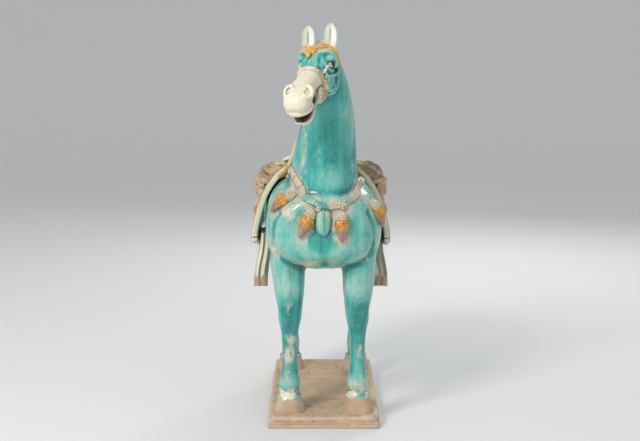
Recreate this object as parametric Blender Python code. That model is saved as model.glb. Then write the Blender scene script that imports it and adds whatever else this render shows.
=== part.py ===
"""Glazed pottery horse of the Tang kind, saddled, harnessed and luted to its slab: one fired piece.

Metres, +Z up. The horse faces -Y and its left side is +X. The origin is the middle of the slab's underside.
The figure's own forms are written in its units: 693rds of its height, with z counted from the slab's top.
"""
import math

import bmesh
import bpy
import numpy as np
from mathutils import Matrix, Vector
from mathutils.bvhtree import BVHTree

# Driving dimensions, in metres
FIGURE_HEIGHT = 0.693        # slab's top to ear tips
SLAB_THICKNESS = 0.020
SLAB_SIDE_MARGIN = 0.005     # slab beyond the hooves at each side
SLAB_FRONT_MARGIN = 0.014    # slab beyond the front toes
SLAB_BACK_MARGIN = 0.041     # slab beyond the hind heels
SLAB_EDGE_RADIUS = 0.0025
HOOF_SINK = 0.004            # hooves pressed into the slab
CLOTH_THICKNESS = 0.0075     # saddle blanket, saddle cloth and flaps
HEM_RADIUS = 0.0045          # rolled hem of the cloths
STRAP_WIDTH = 0.013
STRAP_THICKNESS = 0.0055
PLAQUE_LENGTH = 0.022
PLAQUE_GAP = 0.0025
PENDANT_LENGTH = 0.054
PENDANT_WIDTH = 0.024

# How finely the clay is worked, in metres, and the facets that are kept
ROUGH_VOXEL = 0.0034
FINE_VOXEL = 0.0024
BODY_FACETS = 7500
HEAD_FACETS = 2200

# The figure's own units
FIGURE_UNITS = 693
UNIT = FIGURE_HEIGHT / FIGURE_UNITS

# The head's place: its poll, how far it turns to the horse's right, and its slope from the vertical
POLL = (-6.5, -176, 652)
HEAD_TURN = math.radians(21)
HEAD_SLOPE = math.radians(49)

# Where the legs stand: side, front and heel-to-toe half length of the hooves
FORE_HOOF = (62, -165, 31)
HIND_HOOF = (67, 138, 31)
HOOF_HALF_WIDTH = 28


def spot(x, y, z):
    """A place on the figure, from its own units."""
    return Vector((x * UNIT, y * UNIT, z * UNIT + SLAB_THICKNESS))


def head_axes():
    """The head's side, front and down-the-nose directions as the columns of a matrix."""
    turn_sin, turn_cos = math.sin(HEAD_TURN), math.cos(HEAD_TURN)
    slope_sin, slope_cos = math.sin(HEAD_SLOPE), math.cos(HEAD_SLOPE)
    side = Vector((turn_cos, -turn_sin, 0))
    front = Vector((-turn_sin * slope_cos, -turn_cos * slope_cos, slope_sin))
    return Matrix((side, front, side.cross(front))).transposed()


def head_units(side, front, down):
    """A place on the head, given from the poll, in the figure's units."""
    return Vector(POLL) + head_axes() @ Vector((side, front, down))


def head_spot(side, front, down):
    """A place on the head, from the poll, in metres."""
    return spot(*head_units(side, front, down))


HEAD_MIDDLE = head_units(0, -10, 70)
HEAD_REACH = 85              # from the head's middle to its furthest forms


def smooth_rows(rows, steps):
    """Rows of numbers made finer along a Catmull-Rom curve through them."""
    fine = []
    last = len(rows) - 1
    for index in range(last):
        before, start = rows[max(index - 1, 0)], rows[index]
        end, after = rows[index + 1], rows[min(index + 2, last)]
        for step in range(steps):
            t = step / steps
            fine.append(tuple(
                0.5 * (2 * b + (c - a) * t + (2 * a - 5 * b + 4 * c - d) * t * t
                       + (3 * b - a - 3 * c + d) * t * t * t)
                for a, b, c, d in zip(before, start, end, after)))
    fine.append(tuple(rows[last]))
    return fine


def close_rings(bm, rings, looped=False):
    """Faces between rings of points, with a cap on each end unless the rings form a loop."""
    loops = [[bm.verts.new(point) for point in ring] for ring in rings]
    pairs = list(zip(loops, loops[1:]))
    if looped:
        pairs.append((loops[-1], loops[0]))
    else:
        bm.faces.new(loops[0])
        bm.faces.new(reversed(loops[-1]))
    for low, high in pairs:
        for index in range(len(low)):
            after = (index + 1) % len(low)
            bm.faces.new((low[index], low[after], high[after], high[index]))


def oval_ring(centre, side, depth, half_side, half_depth, corners, power):
    """Points of an oval, squarer as its power grows, in metres."""
    ring = []
    for corner in range(corners):
        angle = math.tau * corner / corners
        across = math.copysign(abs(math.cos(angle)) ** (2 / power), math.cos(angle))
        along = math.copysign(abs(math.sin(angle)) ** (2 / power), math.sin(angle))
        ring.append(centre + side * (across * half_side) + depth * (along * half_depth))
    return ring


def limb(bm, rows, side=(1, 0, 0), steps=4, corners=20, power=2.0, place=spot):
    """A tapered form along a path: rows of x, y, z, half width along side, and half depth, in units."""
    rows = smooth_rows(rows, steps)
    centres = [place(*row[:3]) for row in rows]
    rings = []
    for index, row in enumerate(rows):
        ahead = centres[min(index + 1, len(rows) - 1)] - centres[max(index - 1, 0)]
        ahead.normalize()
        across = Vector(side) - ahead * ahead.dot(Vector(side))
        across.normalize()
        deep = ahead.cross(across)
        rings.append(oval_ring(centres[index], across, deep, row[3] * UNIT, row[4] * UNIT, corners, power))
    close_rings(bm, rings)


def blob(bm, centre, radii, axes=None, rings=10, corners=18):
    """An ellipsoid: centre and radii in units, along the world's axes or the columns of a matrix."""
    stretch = Matrix.Diagonal([radius * UNIT for radius in radii]).to_4x4()
    turn = axes.to_4x4() if axes else Matrix.Identity(4)
    bmesh.ops.create_uvsphere(bm, u_segments=corners, v_segments=rings, radius=1,
                              matrix=Matrix.Translation(spot(*centre)) @ turn @ stretch)


def tube(bm, points, radii, corners=8, steps=4):
    """A round cord through points in units, with a radius in units at each."""
    rows = [(*point, radius, radius) for point, radius in zip(points, radii)]
    run = Vector(points[-1]) - Vector(points[0])
    side = (1, 0, 0) if abs(run.x) < 0.8 * run.length else (0, 0, 1)
    limb(bm, rows, side, steps, corners)


def fused(bm, voxel, smoothing):
    """The forms in a bmesh made into one clay body, with its creases softened by a number of passes."""
    mesh = bpy.data.meshes.new("clay")
    bm.to_mesh(mesh)
    bm.free()
    body = bpy.data.objects.new("clay", mesh)
    bpy.context.scene.collection.objects.link(body)
    remesh = body.modifiers.new("fuse", "REMESH")
    remesh.mode = "VOXEL"
    remesh.voxel_size = voxel
    if smoothing:
        soften = body.modifiers.new("soften", "SMOOTH")
        soften.factor = 0.5
        soften.iterations = smoothing
    return baked(body)


def baked(body):
    """An object's mesh as its modifiers leave it; the object itself is removed."""
    graph = bpy.context.evaluated_depsgraph_get()
    mesh = bpy.data.meshes.new_from_object(body.evaluated_get(graph))
    old_mesh = body.data
    bpy.data.objects.remove(body)
    bpy.data.meshes.remove(old_mesh)
    return mesh


# Flesh

def trunk(bm):
    rows = [(0, -214, 330, 40, 36), (0, -206, 330, 66, 54), (0, -190, 332, 85, 67), (0, -165, 334, 96, 76),
            (0, -125, 338, 102, 83), (-1, -75, 344, 103, 86), (-3, -20, 345, 105, 85), (-5, 40, 350, 106, 82),
            (-6, 90, 356, 107, 83), (-7, 135, 362, 107, 85), (-7, 172, 360, 98, 81), (-6, 200, 354, 74, 66),
            (-5, 214, 352, 42, 40)]
    limb(bm, rows, corners=32, power=2.2)
    blob(bm, (0, -62, 424), (30, 62, 28))
    blob(bm, (-6, 152, 410), (62, 52, 42))


def neck(bm):
    rows = [(0, -108, 330, 78, 84), (0, -114, 380, 70, 88), (1, -119, 420, 62, 79), (3, -124, 460, 57, 68),
            (7, -130, 500, 51, 60), (9, -137, 540, 45, 53), (7, -144, 580, 38, 48), (1, -152, 615, 31, 42),
            (-5, -162, 642, 26, 32), (-6, -168, 658, 19, 20)]
    limb(bm, rows, corners=28, power=2.1)


def chest_and_quarters(bm, hand):
    """Shoulder, breast, haunch and elbow of one side; hand is 1 for the horse's left and -1 for its right."""
    blob(bm, (56 * hand, -128, 328), (49, 58, 76))
    blob(bm, (38 * hand, -176, 318), (50, 36, 48))
    blob(bm, (62 * hand - 6, 138, 336), (60, 68, 78))
    blob(bm, (70 * hand - 4, 108, 278), (38, 42, 52))
    blob(bm, (70 * hand, -104, 282), (28, 34, 40))


def fore_leg(bm, hand):
    rows = [(58, -124, 318, 36, 48), (62, -138, 284, 33, 41), (63, -146, 255, 30, 34), (62, -151, 225, 28, 29),
            (61, -153, 200, 25, 25), (60, -156, 184, 20.5, 21), (61, -160, 168, 21.5, 22.5),
            (61, -158, 150, 17, 18), (61, -156, 125, 14.5, 16), (61, -156, 100, 14.5, 16),
            (61, -158, 75, 15, 17), (61, -160, 52, 19.5, 20.5), (62, -161, 38, 18, 18), (62, -163, 24, 20, 21),
            (62, -164, 8, 21, 23)]
    limb(bm, [(x * hand, y, z, w, d) for x, y, z, w, d in rows], corners=18)
    blob(bm, (61 * hand, -172, 170), (17, 14, 19))
    blob(bm, (61 * hand, -140, 158), (10, 12, 16))
    blob(bm, (61 * hand, -144, 48), (11, 10, 13))


def hind_leg(bm, hand):
    rows = [(62, 132, 330, 48, 66), (69, 122, 280, 42, 54), (72, 120, 240, 37, 44), (73, 128, 205, 33, 36),
            (72, 143, 172, 27, 28), (70, 158, 144, 20, 23), (68, 165, 122, 19.5, 23.5), (67, 161, 100, 15.5, 17.5),
            (66, 157, 75, 14.5, 16), (67, 152, 52, 18.5, 20), (67, 146, 38, 17.5, 18), (67, 142, 24, 19.5, 20.5),
            (67, 140, 8, 21, 23)]
    limb(bm, [(x * hand, y, z, w, d) for x, y, z, w, d in rows], corners=18)
    blob(bm, (69 * hand, 182, 138), (11, 13, 20))
    blob(bm, (67 * hand, 168, 48), (11, 10, 13))


def head(bm):
    """Skull, nose and muzzle, with the jaw hanging open."""
    axes = head_axes()
    side = axes.col[0]
    skull = [(0, -16, -8, 15, 13), (0, -15, 0, 24, 20), (0, -15, 12, 31, 22), (0, -16, 24, 31, 24),
             (0, -18, 36, 28, 25), (-1, -18, 50, 24, 24), (-2, -15, 64, 21, 21), (-3, -11, 80, 20, 18),
             (-4, -8, 96, 21, 17.5), (-4, -6, 112, 23.5, 18), (-4, -6, 126, 25, 18.5), (-4, -7, 138, 24, 17),
             (-4, -9, 147, 20, 13), (-4, -10, 153, 12, 8)]
    limb(bm, skull, side, corners=24, power=2.2, place=head_spot)
    jaw = [(0, -34, 30, 20, 24), (0, -42, 48, 22, 25), (0, -42, 68, 18, 19), (0, -41, 88, 14, 12.5),
           (-1, -42, 108, 14, 9.5), (-2, -45, 124, 17, 8.5), (-3, -46, 138, 16.5, 7.5), (-3, -46, 146, 10, 5)]
    limb(bm, jaw, side, corners=18, power=2.2, place=head_spot)
    for hand in (-1, 1):
        blob(bm, head_units(20 * hand, -40, 48), (13, 24, 25), axes)
        blob(bm, head_units(24 * hand, -5, 24), (13, 12, 13), axes)
        blob(bm, head_units(17 * hand - 3, 1, 116), (10, 11, 14), axes)
    blob(bm, head_units(0, -42, 20), (26, 30, 26), axes)


def flesh():
    """The horse's bare body as one softened clay form."""
    bm = bmesh.new()
    trunk(bm)
    neck(bm)
    head(bm)
    for hand in (-1, 1):
        chest_and_quarters(bm, hand)
        fore_leg(bm, hand)
        hind_leg(bm, hand)
    return fused(bm, ROUGH_VOXEL, 9)


# Modelling tools that work on the clay's surface

def positions(mesh):
    values = np.empty(len(mesh.vertices) * 3, dtype=np.float32)
    mesh.vertices.foreach_get("co", values)
    return values.reshape(-1, 3)


def set_positions(mesh, places):
    mesh.vertices.foreach_set("co", places.astype(np.float32).ravel())
    mesh.update()


def press(places, centre, radii, push):
    """Moves the points inside an ellipsoid by push, fading to its edge; all in units, pushed in place."""
    away = (places - np.array(spot(*centre))) / (np.array(radii) * UNIT)
    fade = np.clip(1 - (away * away).sum(axis=1), 0, 1) ** 2
    places += fade[:, None] * (np.array(push) * UNIT)


def furrow(mesh, places, points, reach, depth):
    """Sinks a groove along a path on the surface, or raises a ridge where depth is negative."""
    normals = np.empty(len(mesh.vertices) * 3, dtype=np.float32)
    mesh.vertices.foreach_get("normal", normals)
    normals = normals.reshape(-1, 3)
    path = [np.array(spot(*row)) for row in smooth_rows(points, 6)]
    nearest = np.full(len(places), np.inf)
    for start, end in zip(path, path[1:]):
        run = end - start
        share = np.clip(((places - start) @ run) / (run @ run), 0, 1)
        nearest = np.minimum(nearest, np.linalg.norm(places - start - share[:, None] * run, axis=1))
    fade = np.clip(1 - (nearest / (reach * UNIT)) ** 2, 0, 1) ** 2
    places -= normals * (fade * depth * UNIT)[:, None]


def carve_flesh(mesh):
    """Muscle furrows, nostrils, eye sockets and mouth, worked into the soft clay."""
    places = positions(mesh)
    furrow(mesh, places, [(1, -220, 392), (2, -216, 340), (2, -196, 276)], 12, 4)
    for hand in (-1, 1):
        furrow(mesh, places, [(70 * hand, -190, 372), (84 * hand, -176, 330), (80 * hand, -166, 288)], 11, 4)
        furrow(mesh, places, [(99 * hand, -70, 400), (104 * hand, -84, 350), (98 * hand, -92, 300)], 15, 4)
        furrow(mesh, places, [(96 * hand, 74, 400), (108 * hand, 84, 350), (98 * hand, 86, 290)], 16, 5)
        furrow(mesh, places, [(98 * hand, 196, 340), (102 * hand, 176, 280), (96 * hand, 160, 230)], 10, 3)
        furrow(mesh, places, [(82 * hand, -176, 262), (78 * hand, -184, 225), (70 * hand, -182, 196)], 8, 2.5)
        furrow(mesh, places, [(48 * hand, -150, 560), (56 * hand, -146, 500), (58 * hand, -168, 440)], 14, 3)
        inward = head_axes() @ Vector((-3 * hand, -6, 1))
        press(places, head_units(18 * hand - 3, 10, 126), (7, 7, 7), inward)
        inward = head_axes() @ Vector((-7 * hand, -2, 0))
        press(places, head_units(29 * hand, -10, 33), (11, 11, 10), inward)
        inward = head_axes() @ Vector((-4 * hand, 0, 0))
        press(places, head_units(24 * hand, -12, 58), (12, 12, 16), inward)
    set_positions(mesh, places)


class Skin:
    """The clay body's surface, which straps and ornaments are laid on."""

    def __init__(self, mesh):
        corners = [vertex.co for vertex in mesh.vertices]
        self.tree = BVHTree.FromPolygons(corners, [polygon.vertices for polygon in mesh.polygons])

    def nearest(self, place):
        """The nearest surface point to a place in metres, and the outward normal there."""
        point, normal, _, _ = self.tree.find_nearest(place)
        return point, normal


def laid_path(skin, points, steps=6, looped=False, place=spot):
    """Surface points and normals under a smooth curve through points in units."""
    if looped:
        points = [*points, points[0]]
    laid = [skin.nearest(place(*row)) for row in smooth_rows(points, steps)]
    return laid[:-1] if looped else laid


def directions(points, index, looped=False):
    count = len(points)
    if looped:
        return (points[(index + 1) % count] - points[index - 1]).normalized()
    return (points[min(index + 1, count - 1)] - points[max(index - 1, 0)]).normalized()


def strap(bm, laid, width, thickness, looped=False):
    """A band that lies on the skin along a path, half sunk in it."""
    points = [point for point, _ in laid]
    rings = []
    for index, (point, normal) in enumerate(laid):
        ahead = directions(points, index, looped)
        across = ahead.cross(normal).normalized()
        rings.append(oval_ring(point, across, normal, width / 2, thickness, 8, 3.5))
    close_rings(bm, rings, looped)


def plaque(bm, point, normal, ahead, length, width, thickness):
    """A small raised plate on a strap, thicker at one end, so that each seems to overlap the next."""
    across = ahead.cross(normal).normalized()
    turn = Matrix((ahead, across, normal)).transposed().to_4x4()
    made = bmesh.ops.create_cube(bm, size=1, matrix=Matrix.Translation(point) @ turn
                                 @ Matrix.Diagonal((length, width, thickness * 2.6, 1)))
    rising = thickness * 0.35
    for vertex in made["verts"]:
        away = vertex.co - point
        if away.dot(normal) > 0:
            vertex.co += normal * (rising if away.dot(ahead) > 0 else 0)


def plated_strap(bm, laid, width, thickness):
    """A strap set with plaques along its whole run."""
    strap(bm, laid, width * 0.8, thickness)
    points = [point for point, _ in laid]
    gone = 0.0
    pitch = PLAQUE_LENGTH + PLAQUE_GAP
    due = pitch / 2
    for index in range(1, len(laid)):
        step = (points[index] - points[index - 1]).length
        while gone + step >= due:
            share = (due - gone) / step
            point = points[index - 1].lerp(points[index], share)
            normal = laid[index - 1][1].lerp(laid[index][1], share).normalized()
            plaque(bm, point, normal, directions(points, index), PLAQUE_LENGTH, width, thickness)
            due += pitch
        gone += step


# Shares of a pendant's length, each with its share of the half width: beaded cap, body, pointed end
PENDANT_PROFILE = [(0.0, 0.30), (0.06, 0.55), (0.14, 0.72), (0.22, 0.78), (0.25, 0.95), (0.30, 0.95), (0.33, 0.84),
                   (0.42, 1.0), (0.56, 1.0), (0.68, 0.86), (0.73, 0.68), (0.80, 0.55), (0.90, 0.36), (1.0, 0.12)]


def pendant(bm, skin, top, tip):
    """An acorn-shaped pendant that lies on the skin from a top to a tip, given in units."""
    top_point, top_normal = skin.nearest(spot(*top))
    tip_point, tip_normal = skin.nearest(spot(*tip))
    run = (tip_point - top_point).normalized()
    half = PENDANT_WIDTH / 2
    rings = []
    for share, breadth in PENDANT_PROFILE:
        normal = top_normal.lerp(tip_normal, share).normalized()
        radius = half * breadth
        near, _ = skin.nearest(top_point + run * (share * PENDANT_LENGTH))
        centre = near + normal * (half * 0.45)
        across = run.cross(normal).normalized()
        rings.append(oval_ring(centre, across, across.cross(run), radius, radius * 0.9, 12, 2))
    close_rings(bm, rings)


# Head ornaments

def ear(bm, base, tip, half_width, hollow=4, wall=5.5):
    """A leaf-shaped ear with a hollow front, from its base to its tip in units."""
    base, tip = Vector(base), Vector(tip)
    rings = []
    rows = smooth_rows([(-0.15, 0.62), (0.05, 0.84), (0.30, 1.0), (0.55, 0.92), (0.80, 0.66), (0.93, 0.40), (1.0, 0.16)], 3)
    for share, breadth in rows:
        centre = base.lerp(tip, share)
        half = half_width * breadth
        scoop = hollow * breadth
        ring = []
        for step in range(9):
            x = -half + 2 * half * step / 8
            ring.append(spot(centre.x + x, centre.y + scoop * (1 - (x / half) ** 2), centre.z))
        for step in range(1, 8):
            x = half - 2 * half * step / 8
            bulge = (scoop + wall) * (1 - (x / half) ** 2)
            ring.append(spot(centre.x + x, centre.y + bulge, centre.z))
        rings.append(ring)
    close_rings(bm, rings)


def face(bm, hand):
    """Eye, brow, lids and nostril rim of one side."""
    axes = head_axes()
    blob(bm, head_units(23 * hand, -11, 32), (8, 8.5, 8.5), axes)

    def line(points, radii):
        tube(bm, [tuple(head_units(s * hand, f, d)) for s, f, d in points], radii)

    line([(12, 8, 24), (19, 7, 19), (27, 0, 18), (33, -10, 22), (33, -20, 32)], (4, 6, 7, 6, 3.5))
    line([(30, -22, 38), (27, -14, 43), (21, -4, 43), (14, 3, 37)], (2.5, 3, 3, 2.5))
    line([(10, 14, 117), (18, 13, 116), (23.5, 8, 122), (22.5, 5, 131), (15, 7, 135), (9, 12, 129)],
         (3, 4, 4.5, 4, 3.5, 2.5))


def lips(bm):
    """Upper lip's edge and the rim of the open lower lip."""
    upper = [(-25, -19, 124), (-23, -20, 137), (-14, -19, 147), (-4, -18, 150), (7, -19, 147), (16, -20, 137),
             (18, -19, 124)]
    tube(bm, [tuple(head_units(*row)) for row in upper], (3.5, 4.5, 5, 5.5, 5, 4.5, 3.5))
    lower = [(-17, -40, 116), (-18, -43, 130), (-12, -43, 142), (-3, -42, 146), (6, -43, 142), (13, -43, 130),
             (13, -40, 116)]
    tube(bm, [tuple(head_units(*row)) for row in lower], (2.5, 3.2, 3.5, 3.5, 3.5, 3.2, 2.5))


def rosette(bm):
    """A petalled boss on the forehead with a drop below it."""
    axes = head_axes()
    centre = Vector((-10, 9, 20))
    blob(bm, head_units(*centre), (9, 7, 9), axes)
    petals = 7
    for petal in range(petals):
        angle = math.tau * petal / petals
        tip = centre + 8 * Vector((math.cos(angle), 0, math.sin(angle)))
        blob(bm, head_units(*tip), (4.5, 4.5, 4.5), axes, 6, 8)
    blob(bm, head_units(-9, 10, 34), (4, 4, 7), axes, 6, 8)


def bridle(bm, skin):
    """Brow band, noseband, cheek straps and bit rings."""
    width = STRAP_WIDTH * 0.6
    thickness = STRAP_THICKNESS * 0.6
    nose = [(0, 8, 64), (15, 4, 64), (21, -12, 63), (20, -30, 66), (12, -50, 72), (0, -60, 74),
            (-12, -50, 72), (-20, -30, 66), (-22, -12, 63), (-16, 4, 64)]
    strap(bm, laid_path(skin, nose, 4, True, head_spot), width, thickness, True)
    brow = [(-36, -24, 20), (-30, -6, 12), (-18, 8, 11), (-4, 11, 11), (10, 9, 5), (22, 3, 6), (31, -8, 14),
            (36, -24, 22)]
    strap(bm, laid_path(skin, brow, 5, False, head_spot), width, thickness)
    for hand in (-1, 1):
        cheek = [(21 * hand, -14, 64), (27 * hand, -22, 52), (34 * hand, -30, 38), (36 * hand, -32, 20),
                 (30 * hand, -22, 2), (18 * hand, -16, -10)]
        strap(bm, laid_path(skin, cheek, 5, False, head_spot), width * 0.7, thickness)
        bit = head_units(18 * hand, -32, 82)
        blob(bm, bit, (4, 9, 9), head_axes(), 8, 12)
        rein = [(18 * hand, -32, 82), (24 * hand, -38, 70), (34 * hand, -48, 54)]
        strap(bm, laid_path(skin, rein, 5, False, head_spot), width * 0.5, thickness)


def mane(bm):
    """A cropped mane that stands along the crest, combed into locks."""
    crest = smooth_rows([(-6, -150, 649), (-4, -132, 649), (2, -110, 622), (7, -97, 582), (8, -86, 542),
                         (6, -73, 502), (3, -60, 462), (1, -48, 440)], 5)
    limb(bm, [(x, y, z, 6, 13) for x, y, z in crest], steps=1, corners=10)
    for index in range(1, len(crest)):
        x, y, z = crest[index]
        back = Vector(crest[index]) - Vector(crest[index - 1])
        lift = Vector((0, -back.z, back.y)).normalized()
        if lift.y < 0:
            lift.negate()
        share = index / len(crest)
        tall = 14 - 5 * share
        root = Vector((x, y, z)) - lift * 10
        lean = 1.5 if index % 2 else -1.5
        top = Vector((x + lean, y, z)) + lift * tall
        tube(bm, [tuple(root), tuple(root.lerp(top, 0.55)), tuple(top)], (8, 7, 4), 6, 2)


def tail(bm):
    """A docked tail, bound and curled down against the buttocks."""
    bones = smooth_rows([(0, 196, 408, 17, 15), (1, 220, 416, 15, 14), (3, 234, 402, 13, 13), (5, 236, 380, 12, 12),
                         (5, 229, 358, 11, 11), (3, 222, 336, 9, 9), (1, 220, 322, 5, 5)], 4)
    bound = []
    for index, (x, y, z, wide, deep) in enumerate(bones):
        swell = 1.1 if index % 4 < 2 else 0.9
        bound.append((x, y, z, wide * swell, deep * swell))
    limb(bm, bound, steps=1, corners=12)


# Saddle, cloths and straps

BLANKET_HALF = [(0, 441), (34, 438), (66, 424), (90, 400), (105, 370), (113, 338), (117, 308), (115, 288)]
SADDLE_RIM_HALF = [(0, 503), (24, 499), (42, 481), (54, 456), (64, 434), (84, 402), (96, 372)]
BLANKET_FRONT, BLANKET_BACK = -50, 80
SEAT_SHIFT = -5              # how far saddle and cloths sit towards the horse's right


def mirrored(half):
    return [(-x, z) for x, z in reversed(half[1:])] + half


def shell(bm, sections, thickness, inward=(0, 0, -1)):
    """A closed sheet of even thickness from rows of points in units, laid side by side."""
    thick = thickness / UNIT
    outer = [[Vector(point) for point in row] for row in sections]
    inner = []
    for row in outer:
        row_inner = []
        for index, point in enumerate(row):
            along = row[min(index + 1, len(row) - 1)] - row[max(index - 1, 0)]
            off = Vector((-along.z, 0, along.x))
            if off.length == 0:
                off = Vector(inward)
            off.normalize()
            row_inner.append(point - off * thick)
        inner.append(row_inner)
    rings = [[spot(*point) for point in top + below[::-1]] for top, below in zip(outer, inner)]
    close_rings(bm, rings)


def blanket(bm):
    """The saddle blanket over the back, hanging clear of the flanks, with a rolled hem."""
    outline = smooth_rows(mirrored(BLANKET_HALF), 3)
    sections = []
    stops = 12
    for stop in range(stops + 1):
        share = stop / stops
        y = BLANKET_FRONT + (BLANKET_BACK - BLANKET_FRONT) * share
        edge = abs(2 * share - 1) ** 4
        row = []
        for x, z in outline:
            hang = max(0.0, (400 - z) / 110)
            ripple = 1.5 * hang * math.sin(share * 5 * math.pi)
            out = math.copysign(edge * 6 * hang + ripple, x) if x else 0
            row.append((x + out + SEAT_SHIFT, y, z + 2))
        sections.append(row[::-1])
    shell(bm, sections, CLOTH_THICKNESS)
    hem = HEM_RADIUS / UNIT
    for row in (sections[0], sections[-1]):
        tube(bm, row[::3], [hem] * len(row[::3]), 8, 2)
    for side in (0, -1):
        edge_row = [row[side] for row in sections]
        tube(bm, edge_row, [hem] * len(edge_row), 8, 1)


def saddle(bm):
    """The saddle under its cloth: high arched pommel in front, dipped seat, and lower cantle behind."""
    pommel = smooth_rows(mirrored(SADDLE_RIM_HALF), 3)
    stations = [(-58, 0, 1.0), (-50, 3, 0.985), (-40, 20, 0.95), (-24, 42, 0.92), (-4, 52, 0.92), (16, 53, 0.93),
                (36, 46, 0.95), (50, 32, 0.97), (60, 18, 1.0), (72, 16, 1.01)]
    sections = []
    for y, drop, spread in stations:
        row = []
        for x, z in pommel:
            high = max(0.0, min(1.0, (z - 400) / 100))
            row.append((x * spread + SEAT_SHIFT, y, z - drop * high ** 0.8))
        sections.append(row)
    close_rings(bm, [[spot(*point) for point in row] for row in sections])
    hem = HEM_RADIUS / UNIT
    for row in (sections[0], sections[-1]):
        tube(bm, row[::3], [hem] * len(row[::3]), 8, 2)


def gathers(bm, hand):
    """The saddle cloth drawn together in pleats from the saddle's side down to its knot."""
    folds = 30
    pleats = 5
    rings = []
    for step in range(8):
        share = step / 7
        row = []
        for fold in range(folds + 1):
            across = fold / folds
            start = Vector((60 + 10 * math.sin(across * math.pi), -44 + 102 * across, 438))
            end = Vector((112, 24 + (across - 0.5) * 22, 402))
            point = start.lerp(end, share)
            wave = math.sin(across * pleats * math.tau) * (1.5 + 2.5 * share)
            point.x += 12 * math.sin(share * 2.6) + wave
            point.z += 8 * math.sin(share * math.pi) + wave * 0.6
            row.append(point)
        below = [point - Vector((12, 0, 9)) for point in row]
        rings.append([spot(p.x * hand + SEAT_SHIFT, p.y, p.z) for p in row + below[::-1]])
    close_rings(bm, rings)


def knot(bm, hand):
    """The knot in the saddle cloth at one side, with its end hanging down."""
    def at(x, y, z):
        return (x * hand + SEAT_SHIFT, y, z)

    blob(bm, at(114, 24, 398), (10, 15, 12))
    blob(bm, at(112, 30, 383), (12, 17, 18))
    blob(bm, at(113, 17, 379), (9, 10, 16))
    tube(bm, [at(100, 8, 398), at(119, 15, 404), at(121, 33, 400), at(100, 42, 392)], (5, 5.5, 5.5, 5), 8, 4)
    tube(bm, [at(113, 26, 382), at(117, 33, 358), at(115, 40, 340)], (10, 8, 4), 8, 4)


def flap(bm, hand):
    """The hanging flap below the blanket, its front edge curled in."""
    plan = smooth_rows([(99, -46), (107, -53), (117, -50), (121, -30), (121, 0), (118, 34), (113, 58)], 3)
    levels = [(308, 0.96), (280, 1.0), (250, 1.01), (225, 1.02), (208, 1.02)]
    sections = []
    for level, spread in levels:
        row = []
        for x, y in plan:
            low = 5 * math.sin((y + 53) / 111 * math.pi) if level < 230 else 0
            row.append((x * hand * spread + SEAT_SHIFT, y, level - low))
        sections.append(row)
    thick = CLOTH_THICKNESS / UNIT
    rings = []
    for row in sections:
        inner = []
        for index, (x, y, z) in enumerate(row):
            along = Vector(row[min(index + 1, len(row) - 1)]) - Vector(row[max(index - 1, 0)])
            off = Vector((along.y, -along.x, 0)).normalized() * hand
            inner.append((x - off.x * thick, y - off.y * thick, z))
        rings.append([spot(*point) for point in row + inner[::-1]])
    close_rings(bm, rings)


def breast_collar(bm, skin):
    """The plated collar across the breast, with its four pendants."""
    run = [(-92, -58, 418), (-78, -104, 428), (-60, -146, 432), (-49, -178, 418), (-33, -206, 396), (-10, -220, 384),
           (24, -220, 382), (50, -202, 394), (72, -166, 406), (84, -110, 418), (92, -58, 418)]
    plated_strap(bm, laid_path(skin, run, 8), STRAP_WIDTH, STRAP_THICKNESS)
    for top, tip in (((-51, -190, 401), (-82, -170, 360)), ((-19, -218, 374), (-43, -214, 322)),
                     ((31, -220, 370), (32, -214, 316)), ((80, -168, 380), (97, -148, 334))):
        pendant(bm, skin, top, tip)
    blob(bm, (-1, -214, 352), (14, 10, 27))


def crupper(bm, skin):
    """Straps over the croup and round the haunches, with pendants."""
    plated_strap(bm, laid_path(skin, [(0, 70, 446), (0, 120, 452), (0, 165, 450), (0, 200, 420)], 8),
                 STRAP_WIDTH, STRAP_THICKNESS)
    for hand in (-1, 1):
        run = [(112 * hand, 74, 372), (122 * hand, 110, 362), (118 * hand, 150, 356), (92 * hand, 190, 352),
               (50 * hand, 214, 360), (16 * hand, 216, 380)]
        plated_strap(bm, laid_path(skin, run, 8), STRAP_WIDTH, STRAP_THICKNESS)
        for top, tip in (((122 * hand, 112, 356), (124 * hand, 116, 300)),
                         ((112 * hand, 158, 352), (110 * hand, 160, 296)),
                         ((76 * hand, 200, 350), (74 * hand, 196, 296))):
            pendant(bm, skin, top, tip)
        side_run = [(0, 128, 452), (44 * hand, 132, 440), (84 * hand, 134, 410), (112 * hand, 134, 372)]
        strap(bm, laid_path(skin, side_run, 8), STRAP_WIDTH * 0.8, STRAP_THICKNESS)


def hoof(bm, place, hand):
    """A hoof that widens to the ground, under the swollen ring of the coronet, with clay squeezed round it."""
    side, front, half_length = place
    x = side * hand
    half_width = HOOF_HALF_WIDTH
    sole = -HOOF_SINK / UNIT
    rows = [(x, front, sole, half_width, half_length), (x, front + 1, 8, half_width * 0.95, half_length * 0.95),
            (x, front + 3, 18, half_width * 0.83, half_length * 0.84),
            (x, front + 5, 25, half_width * 0.76, half_length * 0.76)]
    limb(bm, rows, (1, 0, 0), 2, 20, 2.3)
    blob(bm, (x, front + 5, 27), (half_width * 0.82, half_length * 0.80, 5), None, 8, 20)
    blob(bm, (x + 12 * hand, front + 22, 1), (15, 16, 5), None, 6, 12)
    blob(bm, (x - 26 * hand, front + 2, 0), (12, 18, 4), None, 6, 12)


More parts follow.
